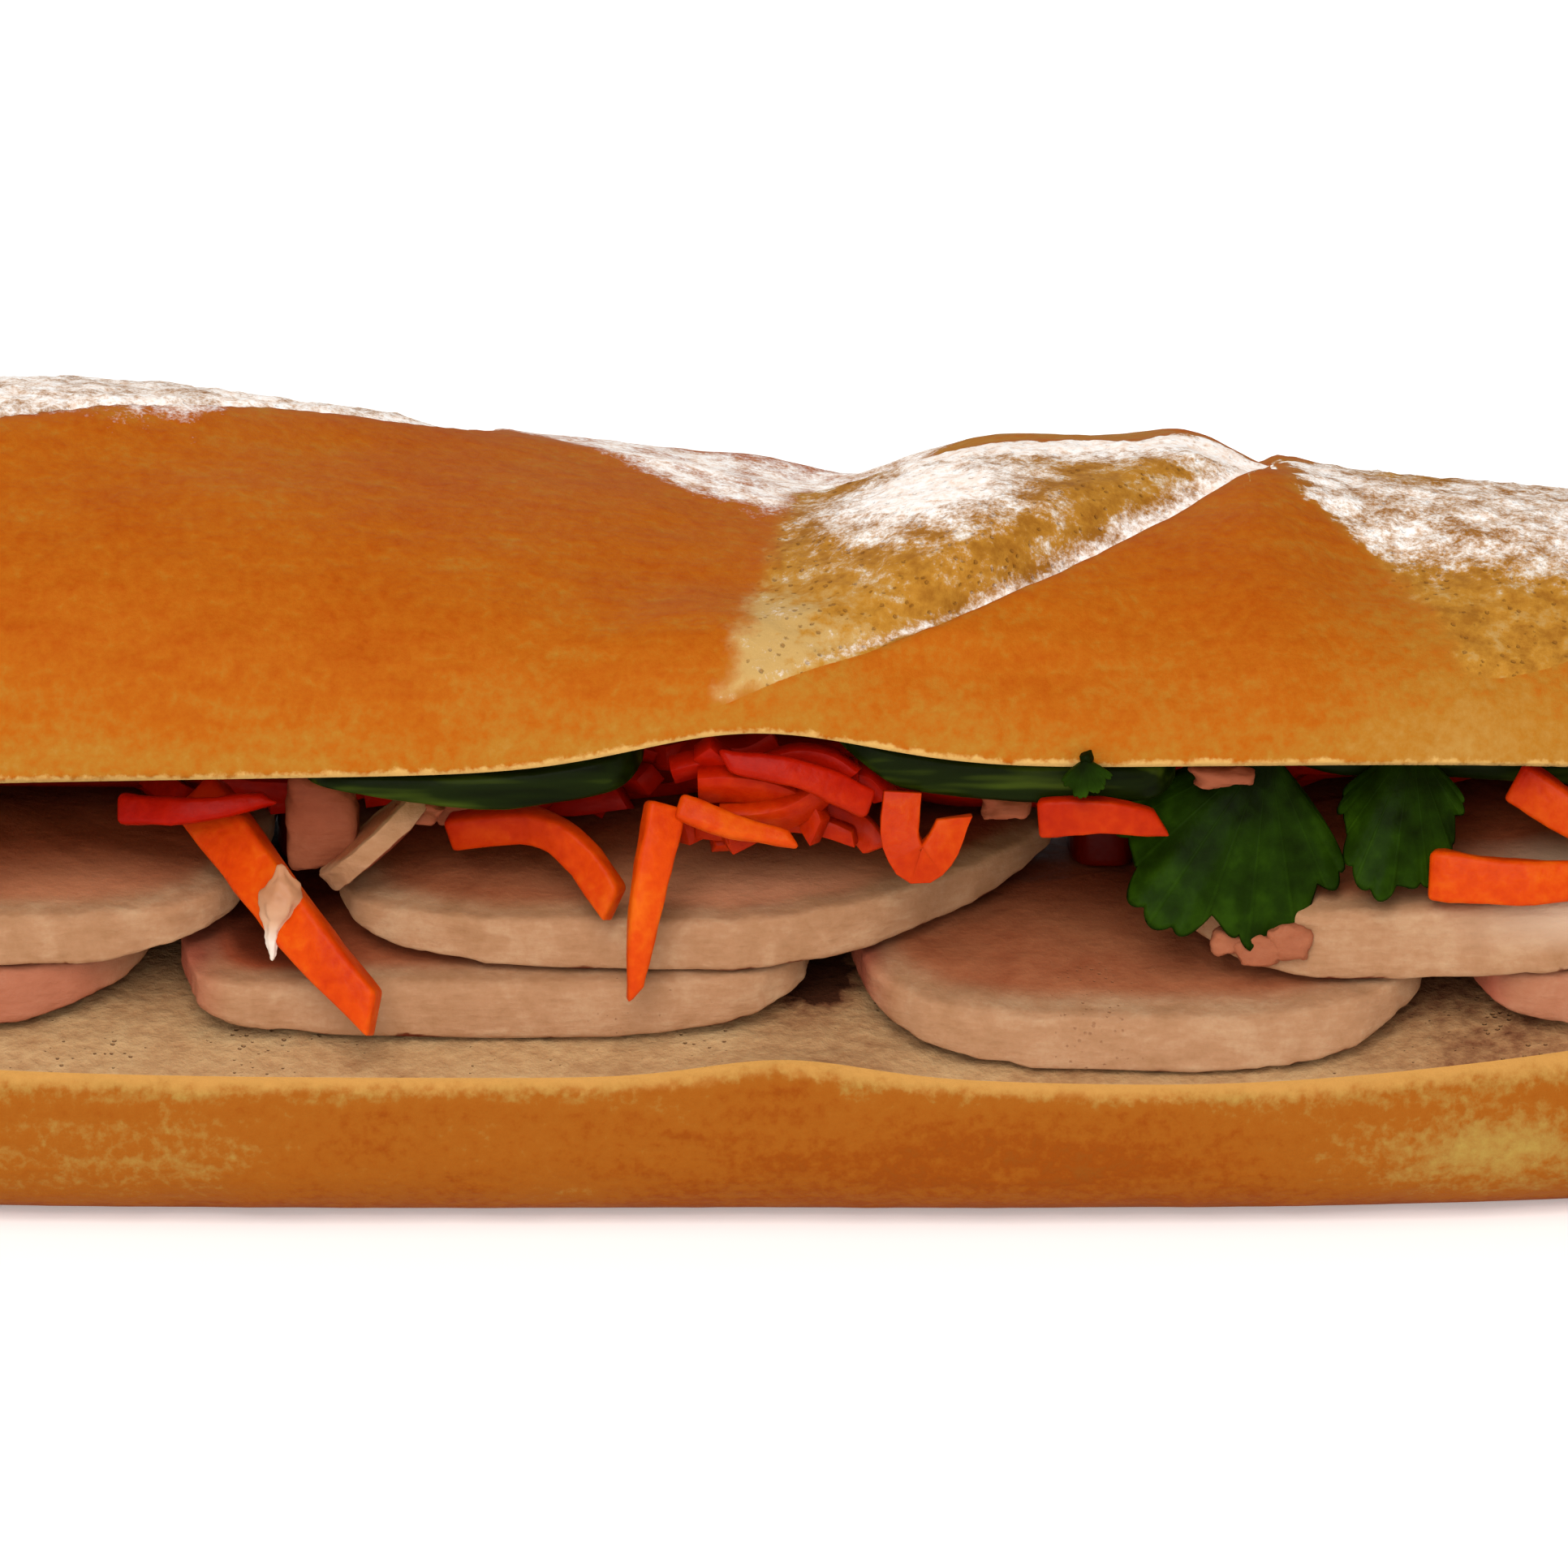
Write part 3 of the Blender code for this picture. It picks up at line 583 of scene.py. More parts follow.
def base_shape(points):
    """A flat-bottomed crust under a crowned cut face."""
    x, turn = along_loaf(points, BASE_UPPER_SHARE)
    half = HALF_WIDTH * plan_share(x)
    on_top = turn >= 0
    y = np.where(on_top, half * np.cos(turn), half * bowed(np.cos(turn), SIDE_SQUARENESS))
    depth = FLOOR_SHARE * np.abs(np.sin(turn)) ** SIDE_SQUARENESS
    lip = lower_lip(x) + edge_swell(x, HALF_WIDTH)
    z_side = np.maximum(0.0, lip * (1 - depth))
    z = np.where(on_top, crumb_height(x, y) + edge_swell(x, y), z_side)
    placed = x, y, towards_tip(x, z, BASE_TIP)

    along, up, below = x / MM, z_side / MM, (lip - z_side) / MM
    bake = 0.58 - 0.32 * bell(along - 84, 17) * bell(up - 8, 5) - 0.3 * ease((along - 100) / 20)
    bake += 0.16 * bell(along - 34, 26) * bell(up - 7, 4) - 0.12 * ease((-along - 35) / 12) * bell(up - 8, 5)
    # Painted shade: darker along the bottom few mm, where the side curves under towards the table; paler just
    # under the sawn edge.
    bake += 0.22 * ease((3.5 - up) / 3.5) - 0.3 * ease((4 - below) / 4)
    unslashed = {"past_left": -1, "past_lip": 1, "dust": -1, "sifted": -1}
    fields = {name: np.full_like(x, side * FIELD_REACH) for name, side in unslashed.items()}
    fields["rim"] = np.where(on_top, 0.0, below)
    fields["deck"] = np.ones_like(x)
    # A juice stain on the right, and painted shade where the crumb lies in the dark between two lower slices.
    fields["moist"] = 0.9 * bell(along - 84, 12) + 1.7 * bell(along - 15.5, 4) * bell(y / MM + 18, 8)
    fields["bake"] = bake
    return placed, fields


base = shaped_ball("bread_base_crust", BASE_SEGMENTS, BASE_RINGS, base_shape, halvings=2)
heights = values_of(base.data.attributes["rim"].data, "value")
x_of, y_of, z_of = values_of(base.data.vertices, "co", each=3).reshape(-1, 3).T
weigh(base, "crust", ease(heights / 3) * ease(z_of / (2 * MM)))
from_lip = HALF_WIDTH * plan_share(x_of) - np.abs(y_of)
weigh(base, "crumb", (heights <= 0) * ease(from_lip / (4 * MM)))
roughen(base, 11 * MM, 0.8 * MM, "crust")
roughen(base, 2.6 * MM, 0.2 * MM, "crust", 3)
roughen(base, 2.2 * MM, 0.7 * MM, "crumb", 3)
serve_half(base, "bread_base")

# ---------------------------------------------------------------- the pork
# Cold roast pork loin, sliced 5 to 7 mm thick across the grain and laid in two overlapping layers: a
# pale, moist rim where each slice was nearest the heat, and a pinker, darker face with short fibres.

SLICE_GAP = 0.5 * MM
PORK_LOWER = 6.0 * MM
PORK_UPPER = 5.3 * MM
PORK_THICK = 7.3 * MM
# Each slice: its middle, its half length and half depth in mm, its phase of unevenness, its thickness,
# and how square its left and right ends are: 1 is round, and less is squarer.
LOWER_SLICES = [
    (-85, 0, 35.5, 31.5, 0.4, PORK_LOWER, 1.0, 0.5),
    (-16.2, -0.5, 32.7, 31.5, 1.9, PORK_LOWER, 0.18, 0.35),
    (48.0, -3.5, 30.6, 33, 3.1, PORK_LOWER, 0.5, 0.55),
    (103.5, -1.5, 24, 30.5, 4.4, PORK_LOWER, 0.3, 1.0),
]
UPPER_SLICES = [
    (-73, 0.5, 34.6, 31.5, 2.6, PORK_UPPER, 1.0, 0.5),
    (3.5, -0.5, 36.5, 31, 5.2, PORK_UPPER, 0.3, 1.05),
    (80.5, -0.5, 33, 31.5, 0.9, PORK_THICK, 0.42, 0.8),
]
UPPER_LIFT_OFF = SLICE_GAP + PORK_LOWER + SLICE_GAP
OFFCUT_MIDDLE = np.array([[-28.5], [-26], [37.9]]) * MM
OFFCUT_LENGTH = 13 * MM
OFFCUT_DEPTH = 9 * MM
OFFCUT_THICK = 2.2 * MM
OFFCUT_LEAN = math.radians(42)
RIM_SHARE = 0.62  # how many of a slice's rings go round its rim
RIM_INSET = 0.06  # how far in from the outline its face is flat, as a share of the radius
RIM_POWER = 0.36  # 1 is a round rim, and less is squarer
END_THINNING = 0.55  # how much thinner a slice is at its ends
SHADE_DEPTH = 16 * MM  # how far the light dies away over, behind the lid's front lip
SLICE_SEGMENTS, SLICE_RINGS = 100, 23  # halved once
OFFCUT_SEGMENTS, OFFCUT_RINGS = 60, 20


def slab_profile(points):
    """(share of the radius, share of the thickness) for a slab with flat faces and a nearly upright rim."""
    level = latitude_of(points)
    climb = np.minimum(1.0, np.abs(level) / RIM_SHARE) * np.pi / 2
    inwards = np.maximum(0.0, np.abs(level) - RIM_SHARE) / (1 - RIM_SHARE)
    radius = 1 - RIM_INSET * (1 - np.maximum(0.0, np.cos(climb)) ** RIM_POWER)
    radius -= (1 - RIM_INSET) * inwards**1.5
    return radius, 0.5 + 0.5 * np.sign(level) * np.sin(climb) ** RIM_POWER


def shade_at(x, y, z):
    """0 out in the light to 1 deep under the lid, where the loaf's front lip is in the way."""
    return ease(0.45 - (upper_lip(x) - z - 0.9 * (y + HALF_WIDTH)) / SHADE_DEPTH)


def slice_shape(points, middle_x, middle_y, half_x, half_y, phase, thickness, left, right, lift):
    """A slice of the roast, laid on the crumb's crown, whose underside thins towards both ends."""
    turn = turn_of(points)
    radius, share = slab_profile(points)
    square = left + (right - left) * ease(0.5 + 2.5 * np.cos(turn))
    uneven = 1 - 0.012 * (1 + np.sin(2 * turn + phase)) - 0.008 * (1 + np.sin(5 * turn + phase))
    uneven -= 0.003 * square * (np.sin(17 * turn + 3 * phase) + np.sin(29 * turn + phase))
    along = radius * uneven * bowed(np.cos(turn), square)
    across = radius * uneven * bowed(np.sin(turn), square)
    x = (middle_x + half_x * along) * MM
    y = (middle_y + half_y * across) * MM
    kept = thickness * (1 - END_THINNING * np.abs(along) ** 3)
    z = crumb_height(x, y) + lift + thickness - kept * (1 - share)

    # Painted light where the lamps reach in, where the face is pinker or pitted, a painted sheen, and painted
    # shade under the lid, between slices and where other slices bury it.
    at_x, at_y = x / MM, y / MM
    lower = float(lift == SLICE_GAP)
    # Painted light: the upper faces are paler where the lamps reach in under the lid.
    glow = np.maximum(bell(at_x - 9, 14), 0.5 * bell(at_x + 58, 12)) * bell(at_y + 24, 7)
    glow *= (1 - lower) * ease((share - 0.6) / 0.3)
    pink = 0.8 * ease((-along - 0.78) / 0.2) + 0.7 * ease((-50 - at_x) / 8) + 0.5 * ease(at_x - 76)
    # Painted shade on the lower faces in the dark gap between two upper slices.
    between = 1.8 * bell(at_x + 41, 12) * ease((at_y + 33) / 4)
    fields = {
        "inner": 1 - radius,
        "level": share,
        "shaded": shade_at(x, y, z) * (1 - 0.8 * glow) + lower * between,
        "pink": lower * pink,
        # Painted shade on the lower slices' left ends, where they run back in under other slices.
        "buried": lower * ease((-along - 0.8) / 0.12) * ease((at_y + 29.5) / 3),
        "glow": glow,
        "pitted": lower * (bell(at_x - 43, 8) + 0.75 * bell(at_x + 4, 17)) * ease((-22 - at_y) / 4),
        # Painted sheen: a paler patch on the front of the thick slice's right end.
        "fatty": (1 - lower) * bell(at_x - 91, 9) * ease((share - 0.35) / 0.3) * ease((-18 - at_y) / 6),
    }
    return (x, y, z), fields


def offcut_shape(points):
    """The thin end of the roast, which leans between two slices."""
    turn = turn_of(points)
    radius, share = slab_profile(points)
    along = OFFCUT_LENGTH / 2 * radius * np.cos(turn)
    up = OFFCUT_THICK * (share - 0.5)
    x = along * math.cos(OFFCUT_LEAN) - up * math.sin(OFFCUT_LEAN)
    z = along * math.sin(OFFCUT_LEAN) + up * math.cos(OFFCUT_LEAN)
    y = OFFCUT_DEPTH / 2 * radius * np.sin(turn)
    return OFFCUT_MIDDLE + (x, y, z), {"inner": 0.4 * (1 - radius), "level": share}


# Roast loin: a moist, satin surface, pale tan on the rim with fine fibres and a few open pits, and rosy brown
# on the face, which is also painted darker with shade that deepens away from the light, under the lid,
# between slices and at buried ends. Painted light brightens the face where the lamps reach in, a painted
# sheen pales the front of the thick slice's right end, and a painted shadow line runs along the foot of each
# rim.
pork, tree, inner, level, shaded, pink, fatty, buried, glow, pitted = new_material("roast_pork_loin", {
    "Roughness": 0.55, "Specular IOR Level": 0.06,
    "Subsurface Weight": 0.12, "Subsurface Radius": (3.0 * MM, 1.3 * MM, 0.8 * MM),
}, "inner", "level", "shaded", "pink", "fatty", "buried", "glow", "pitted")
place = add(tree, "TexCoord", give="Object")
marbling = add(tree, "TexNoise", {"Vector": place, "Scale": 1 / (6 * MM), "Detail": 4.0, "Distortion": 0.8})
fine = add(tree, "TexNoise", {"Vector": place, "Scale": 1 / (0.7 * MM), "Detail": 3.0, "Roughness": 0.65})
layered = add(tree, "Mapping", {"Vector": place, "Scale": (0.3, 0.3, 1.0)})
fibre = add(tree, "TexNoise", {"Vector": layered, "Scale": 1 / (0.8 * MM), "Detail": 3.0})
pits = add(tree, "TexVoronoi", {"Vector": place, "Scale": 1 / (0.75 * MM)})
pit_edge = summed(tree, pits, (pitted, 1.0, -0.5), (fine, 0.5, -0.6))
pit_share = add(tree, "MapRange", {0: pit_edge, 1: 0.28, 2: 0.06, 4: 0.6}, **SMOOTH)
meat_tone = summed(tree, 0.5, (marbling, 0.5, 1.0), (fibre, 0.5, 0.5), (fine, 0.5, 0.4))
# The face's ramp is redder than the rim's and also painted darker with shade; the shaded ramp is painted
# shade.
rim_meat, face_meat, deep_meat = (
    add(tree, "ValToRGB", {0: meat_tone}, stops=stops)
    for stops in (
        [(0.15, "#946946"), (0.5, "#a47856"), (0.85, "#b48f6c")],
        [(0.15, "#8f4c2f"), (0.85, "#a86744")],
        [(0.15, "#76331b"), (0.85, "#954b2e")],
    )
)
on_face = add(tree, "MapRange", {0: inner, 1: 0.045, 2: 0.16}, **SMOOTH)
# Painted light on the face.
pale_face = add(tree, "Math", {0: glow, 1: on_face}, operation="MULTIPLY")
in_shade = summed(tree, shaded, (marbling, 0.5, 0.4))
in_shade = add(tree, "Math", {0: in_shade, 1: on_face}, operation="MULTIPLY")
in_dark = add(tree, "Math", {0: in_shade, 1: 1.0}, operation="SUBTRACT", use_clamp=True)
in_dark = add(tree, "Math", {0: in_dark, 1: buried}, operation="MAXIMUM")
# Painted shadow: a dark line along the foot of each rim, where the slice meets what lies under it.
crease = summed(tree, level, (marbling, 0.5, 0.5))
crease = add(tree, "MapRange", {0: crease, 1: 0.04, 2: -0.02}, **SMOOTH)
meat = rim_meat
for share, layer in (
    (on_face, face_meat), (pale_face, linear("#d8946c")), (in_shade, deep_meat), (in_dark, linear("#4a1a0c")),
    (pink, linear("#a25841")), (fatty, linear("#c4a488")), (pit_share, linear("#8a5a3c")),
    (crease, linear("#5c2412")),
):
    meat = add(tree, "Mix", {0: share, 6: meat, 7: layer}, **COLOURS)
finish_material(tree, meat, 0.7, (fibre, 0.5, 0.3), (fine, 0.5, 0.12), (pit_share, 0.0, -0.25))

for layer, slices, lift in (("lower", LOWER_SLICES, SLICE_GAP), ("upper", UPPER_SLICES, UPPER_LIFT_OFF)):
    for number, sizes in enumerate(slices, 1):
        node = f"pork_{layer}_{number}"
        cut_slice = shaped_ball(
            node + "_slice", SLICE_SEGMENTS, SLICE_RINGS, slice_shape, *sizes, lift, halvings=1
        )
        roughen(cut_slice, 5 * MM, 0.8 * MM)
        roughen(cut_slice, 1.6 * MM, 0.24 * MM)
        serve(cut_slice, "pork", [node], pork)
offcut = shaped_ball("pork_offcut_slice", OFFCUT_SEGMENTS, OFFCUT_RINGS, offcut_shape)
roughen(offcut, 2 * MM, 0.4 * MM)
serve(offcut, "pork", ["pork_offcut"], pork)

# ---------------------------------------------------------------- the carrot
# Raw carrot cut into julienne strips 3 to 5 mm wide and pickled: glossy, wet and translucent. Most of it
# is a loose heap between the pork and the cucumber, and some strips hang out of the mouth of the loaf.

GAP = 0.35 * MM
CUCUMBER = 4.8 * MM
CUCUMBER_GAP = 0.5 * MM
BED_HALF_LENGTH = 100 * MM
BED_HALF_DEPTH = 12 * MM
BED_MIDDLE = 3 * MM
CLUMPS = {"carrot_clump_1": (-36.1, 6), "carrot_clump_2": (44.3, 6)}
CLUMP_HALF_LENGTH = 3.9
CLUMP_HALF_DEPTH = 14
# Routes in mm of the strips that hang from the mouth, each from its hidden end to its tip, its size as a
# share, how far its flat side is turned about its route, in degrees, how much more painted shade it gets
# than its place gives, and how much it thins out.
STRIPS = [
    ([(-46, -23, 41.5), (-40, -29.5, 35.5), (-35, -35, 30.4), (-28, -38.5, 23.4)], 1.12, 0, 0, 0.3),
    ([(-53.5, -27, 41.2), (-46, -29.3, 41.7), (-38.5, -28.8, 42.9)], 0.6, 20, 0.75, 0.5),
    ([(-21, -25, 38.4), (-13, -28, 39.8), (-8, -31, 37.6), (-4.6, -34, 33.2)], 0.74, -15, 0.3, 0.0),
    ([(0.5, -33.5, 43.5), (-0.8, -35.3, 38), (-1.9, -36.5, 31.5), (-2.6, -36.8, 25)], 0.8, 10, 0, 0.62),
    ([(1.5, -34.2, 43.5), (7, -34.6, 41.6), (13, -34.6, 40.2)], 0.55, 30, 0.2, 0.4),
    ([(20.5, -34, 43.6), (14, -34.4, 46.6), (6, -34, 48)], 0.62, -20, 0.8, 0.3),
    ([(23.6, -33.4, 44.8), (23.3, -34.4, 40.4), (25.0, -35, 37.8), (27.2, -34.8, 39.2), (28.7, -34.2, 42.4)],
     0.78, 0, 0.45, 0.2),
    ([(37, -33.5, 42.2), (43, -34.5, 42.6), (49, -34.2, 41.8)], 0.78, 0, 0.6, 0.4),
    ([(75.5, -31.5, 35.8), (84, -33, 35.4), (96, -32, 36)], 1.0, 10, 0.1, 0.4),
    ([(84, -28.5, 44.6), (90, -31, 41.4), (97, -31, 40)], 0.9, 0, 0.1, 0.4),
    ([(30, 32.5, 41), (26, 35, 36), (20, 37, 30), (17, 38, 24)], 0.95, 0, 0, 0.4),
    ([(-8, 33.5, 43), (-16, 35, 41), (-24, 35, 36)], 0.8, 15, 0.2, 0.4),
    ([(-62, 32.5, 40), (-70, 34, 38.5), (-79, 33, 37)], 0.85, 0, 0.3, 0.4),
    ([(66, 29, 38.5), (74, 31.5, 38), (80, 33, 34)], 0.85, -10, 0.1, 0.4),
]
STRIP_WIDTH = 4.9 * MM
STRIP_DEPTH = 3.3 * MM
STRIP_SLANT = 0.5
STRIP_STEPS = 14
STRIP_ROUNDING = 0.6 * MM
FINE_ROUNDING = 0.25 * MM
SHARP_EDGE = math.radians(50)
# The strips of the heap and of the tangle in front of it: how many there are, and the least and the most
# of their widths and depths in mm, their turns, their slants and how much they thin out.
HEAP_SEED = 7
HEAP = (230, [(2.2, 3.6), (1.8, 2.6), (0, math.pi), (-0.6, 0.6), (0, 0.4)])
TANGLE = (15, [(2.2, 3.4), (1.6, 2.3), (-0.7, 0.7), (-0.5, 0.5), (0.1, 0.5)])
# Painted shade added to the tangle's strips beyond what their place gives.
TANGLE_DEEPER = 0.7
# Where they lie, in mm: how long they are, and the bounds that their middle lines keep to.
HEAP_HALF_LENGTH = 98
HEAP_SPREAD = 6.5
HEAP_LENGTHS = (16, 44)
HEAP_END, HEAP_FRONT, HEAP_BACK = 104, -11, 19
TANGLE_MIDDLE, TANGLE_SPREAD = 9.0, 4.0
TANGLE_LENGTHS = (11, 19)
TANGLE_LEFT, TANGLE_RIGHT = -1.0, 22.0
TANGLE_ABOVE_PORK = 5.5
STRIP_MARGIN = 1.6  # how far they keep from what lies under and over them
ROUTE_SHARES = np.linspace(-0.5, 0.5, 5)
BED_SEGMENTS, BED_RINGS = 120, 24
CLUMP_SEGMENTS, CLUMP_RINGS = 48, 16


def pork_top(x, y):
    """The height of the upper slices' faces, which step up to the thick one on the right."""
    thick = PORK_UPPER + (PORK_THICK - PORK_UPPER) * ease((x - 42 * MM) / (5 * MM))
    return crumb_height(x, y) + UPPER_LIFT_OFF + thick


# Pickled carrot: wet, translucent and saturated, painted redder and darker with shade deep under the lid, and
# nearly black in the heap's hidden core and clumps.
carrot, tree, shaded = new_material("pickled_carrot", {
    "Roughness": 0.38, "Specular IOR Level": 0.06,
    "Subsurface Weight": 0.15, "Subsurface Radius": (2.4 * MM, 0.5 * MM, 0.1 * MM),
}, "shaded")
place = add(tree, "TexCoord", give="Object")
cells = add(tree, "TexNoise", {"Vector": place, "Scale": 1 / (1.2 * MM), "Detail": 3.0})
flush = add(tree, "TexNoise", {"Vector": place, "Scale": 1 / (9 * MM), "Detail": 1.0})
root_tone = summed(tree, 0.5, (cells, 0.5, 0.7), (flush, 0.5, 0.9))
root = add(tree, "ValToRGB", {0: root_tone}, stops=[(0.15, "#b32d01"), (0.5, "#c64002"), (0.9, "#d2600c")])
# Painted shade: a redder ramp deep under the lid, and nearly black beyond it.
deep_root = add(tree, "ValToRGB", {0: root_tone}, stops=[(0.15, "#850600"), (0.9, "#ac1600")])
in_dark = add(tree, "Math", {0: shaded, 1: 1.0}, operation="SUBTRACT", use_clamp=True)
root = add(tree, "Mix", {0: shaded, 6: root, 7: deep_root}, **COLOURS)
root = add(tree, "Mix", {0: in_dark, 6: root, 7: linear("#2c0500")}, **COLOURS)
finish_material(tree, root, 0.5, (cells, 0.5, 0.25))

# One strip is drawn out of a square, a step at a time, and its long edges are softened. Every other
# strip is a copy of it, bent along its own route.
bpy.ops.mesh.primitive_plane_add(size=1.0)
strip_pattern = bpy.context.object
bpy.ops.object.mode_set(mode="EDIT")
for step in range(STRIP_STEPS):
    bpy.ops.mesh.extrude_region_move(TRANSFORM_OT_translate={"value": (0, 0, 1 / STRIP_STEPS)})
bpy.ops.mesh.select_all(action="SELECT")
bpy.ops.mesh.normals_make_consistent(inside=False)
bpy.ops.object.mode_set(mode="OBJECT")
strip_points = values_of(strip_pattern.data.vertices, "co", float, 3).reshape(-1, 3)


def route_through(points, shares):
    """Points and directions at these shares of a smooth curve through the given points."""
    points = np.asarray(points, float)
    ends = np.vstack([2 * points[0] - points[1], points, 2 * points[-1] - points[-2]])
    spans = len(points) - 1
    at = np.minimum(shares * spans, spans - 1e-9)
    index = at.astype(int)
    t = (at - index)[:, None]
    before, start, end, after = (ends[index + step] for step in range(4))
    once, twice = end - before, 2 * before - 5 * start + 4 * end - after
    thrice = 3 * start - before - 3 * end + after
    slope = once + 2 * t * twice + 3 * t**2 * thrice
    placed = 0.5 * (2 * start + once * t + twice * t**2 + thrice * t**3)
    return placed, slope / np.linalg.norm(slope, axis=1)[:, None]


def bent_strip(route, width, depth, turned, slant, thinned):
    """The pattern's points moved along a route in mm, with its flat side facing -Y before it is turned."""
    share = strip_points[:, 2]
    places, along = route_through(np.asarray(route) * MM, share)
    facing = np.array((0.0, -1.0, 0.0)) + along * along[:, 1:2]
    facing /= np.linalg.norm(facing, axis=1)[:, None]
    beside = np.cross(along, facing)
    cosine, sine = math.cos(turned), math.sin(turned)
    across, deep = beside * cosine + facing * sine, facing * cosine - beside * sine
    kept = 1 - thinned * share**2
    moved = places + across * (strip_points[:, :1] * width * kept[:, None])
    moved += deep * (strip_points[:, 1:2] * depth * (0.6 + 0.4 * kept)[:, None])
    return moved + along * (strip_points[:, :1] * slant * width * (share**6)[:, None])


def strip_piece(name, placed, deeper=0.0):
    """A copy of the pattern strip with its own mesh, with the painted shade of its place plus this much more.
    """
    piece = strip_pattern.copy()
    piece.data = strip_pattern.data.copy()
    piece.name = piece.data.name = name
    bpy.context.scene.collection.objects.link(piece)
    piece.data.vertices.foreach_set("co", placed.ravel())
    kept = piece.data.attributes.new("shaded", "FLOAT", "POINT")
    kept.data.foreach_set("value", np.minimum(1.0, shade_at(*placed.T) + deeper).astype(np.float32))
    piece.data.update()
    return piece


def pick(*pieces):
    """Selects these pieces alone, the last of them active, and returns that one."""
    bpy.ops.object.select_all(action="DESELECT")
    for piece in pieces:
        piece.select_set(True)
    bpy.context.view_layer.objects.active = pieces[-1]
    return pieces[-1]


def joined(name, parts):
    """One piece out of many."""
    piece = pick(*parts)
    bpy.ops.object.join()
    piece.name = piece.data.name = name
    piece.data.materials.clear()
    return piece


def soften(piece, width, segments=1):
    """Rounds a piece's sharp edges and shades it."""
    rounded = pick(piece).modifiers.new("rounded", "BEVEL")
    rounded.width, rounded.segments = width, segments
    rounded.limit_method = "ANGLE"
    rounded.angle_limit = SHARP_EDGE
    bpy.ops.object.modifier_apply(modifier=rounded.name)
    piece.data.shade_smooth()


for number, (route, size, turned, deeper, thinned) in enumerate(STRIPS, 1):
    node = f"carrot_strip_{number}"
    width, depth = STRIP_WIDTH * size, STRIP_DEPTH * size
    placed = bent_strip(route, width, depth, math.radians(turned), STRIP_SLANT, thinned)
    strip = strip_piece(node + "_julienne", placed, deeper)
    soften(strip, STRIP_ROUNDING, 3)
    roughen(strip, 4 * MM, 0.6 * MM)
    serve(strip, "carrot", [node], carrot)


def scattered(name, route_of, random, count, limits, deeper=0.0):
    """Strips along random routes, each of its sizes drawn between its limits."""
    parts = []
    for index in range(count):
        route = route_of(random)
        width, depth, *rest = (random.uniform(*limit) for limit in limits)
        placed = bent_strip(route, width * MM, depth * MM, *rest)
        parts.append(strip_piece(f"{name}_{index}", placed, deeper))
    return parts


# The heap: each strip lies somewhere between the pork and the cucumber, mostly along the loaf.
def heap_route(random):
    """A gently bent route in mm for a strip of the heap."""
    middle_x = random.uniform(-HEAP_HALF_LENGTH, HEAP_HALF_LENGTH)
    middle_y = random.normal(BED_MIDDLE / MM, HEAP_SPREAD)
    length = random.uniform(*HEAP_LENGTHS)
    heading = random.normal(0, 0.5)
    bend = random.normal(0, 0.12)
    level = random.uniform(0, 1)
    route = []
    for share in ROUTE_SHARES:
        along, aside = share * length, bend * length * (share**2 - 0.08) * 4
        x = middle_x + along * math.cos(heading) - aside * math.sin(heading)
        y = middle_y + along * math.sin(heading) + aside * math.cos(heading)
        front = HEAP_FRONT + 15 * ease((-49 - x) / 6)  # further in, behind the slices on the left
        x, y = np.clip(x, -HEAP_END, HEAP_END), np.clip(y, front, HEAP_BACK)
        low = pork_top(x * MM, y * MM) / MM + STRIP_MARGIN
        high = (ceiling_height(x * MM, y * MM) - CUCUMBER_GAP - CUCUMBER) / MM - STRIP_MARGIN
        wander = level + 0.35 * share * random.uniform(-1, 1)
        route.append((x, y, low + (high - low) * min(1.0, max(0.0, wander))))
    return route


def bed_shape(points):
    """The heap's core, a little smaller all round than the heap."""
    level, turn = latitude_of(points), turn_of(points)
    out = np.cos(level * np.pi / 2) ** 0.6
    x = 0.96 * BED_HALF_LENGTH * out * bowed(np.cos(turn), 0.7)
    y = BED_MIDDLE + 0.8 * BED_HALF_DEPTH * out * bowed(np.sin(turn), 0.5)
    low = pork_top(x, y) + 3 * GAP
    high = ceiling_height(x, y) - CUCUMBER_GAP - CUCUMBER - 6 * GAP
    z = low + (high - low) * (0.5 + 0.5 * bowed(level, 0.6))
    # Painted shade: the core is coloured nearly black-red, as though deep in shadow.
    return (x, y, z), {"shaded": np.full_like(x, 1.6)}


def clump_shape(points, middle_x, middle_y):
    """The core of a clump that has dropped between two slices."""
    turn = turn_of(points)
    radius, share = slab_profile(points)
    x = (middle_x + 0.9 * CLUMP_HALF_LENGTH * radius * bowed(np.cos(turn), 0.5)) * MM
    y = (middle_y + 0.9 * CLUMP_HALF_DEPTH * radius * bowed(np.sin(turn), 0.5)) * MM
    floor = crumb_height(x, y) + SLICE_GAP + PORK_LOWER + 2 * GAP
    z = floor + (PORK_UPPER - 2 * GAP) * share
    # Painted shade: the clump's core is coloured nearly black-red, as though deep in shadow.
    return (x, y, z), {"shaded": np.full_like(x, 1.8)}


random = np.random.default_rng(HEAP_SEED)
parts = scattered("heap_strip", heap_route, random, *HEAP)
parts.append(shaped_ball("heap_core", BED_SEGMENTS, BED_RINGS, bed_shape))
for node, middle in CLUMPS.items():
    parts.append(shaped_ball(node + "_core", CLUMP_SEGMENTS, CLUMP_RINGS, clump_shape, *middle))
heap = joined("carrot_heap", parts)
soften(heap, FINE_ROUNDING)
serve(heap, "carrot", ["carrot_bed", *CLUMPS], carrot)


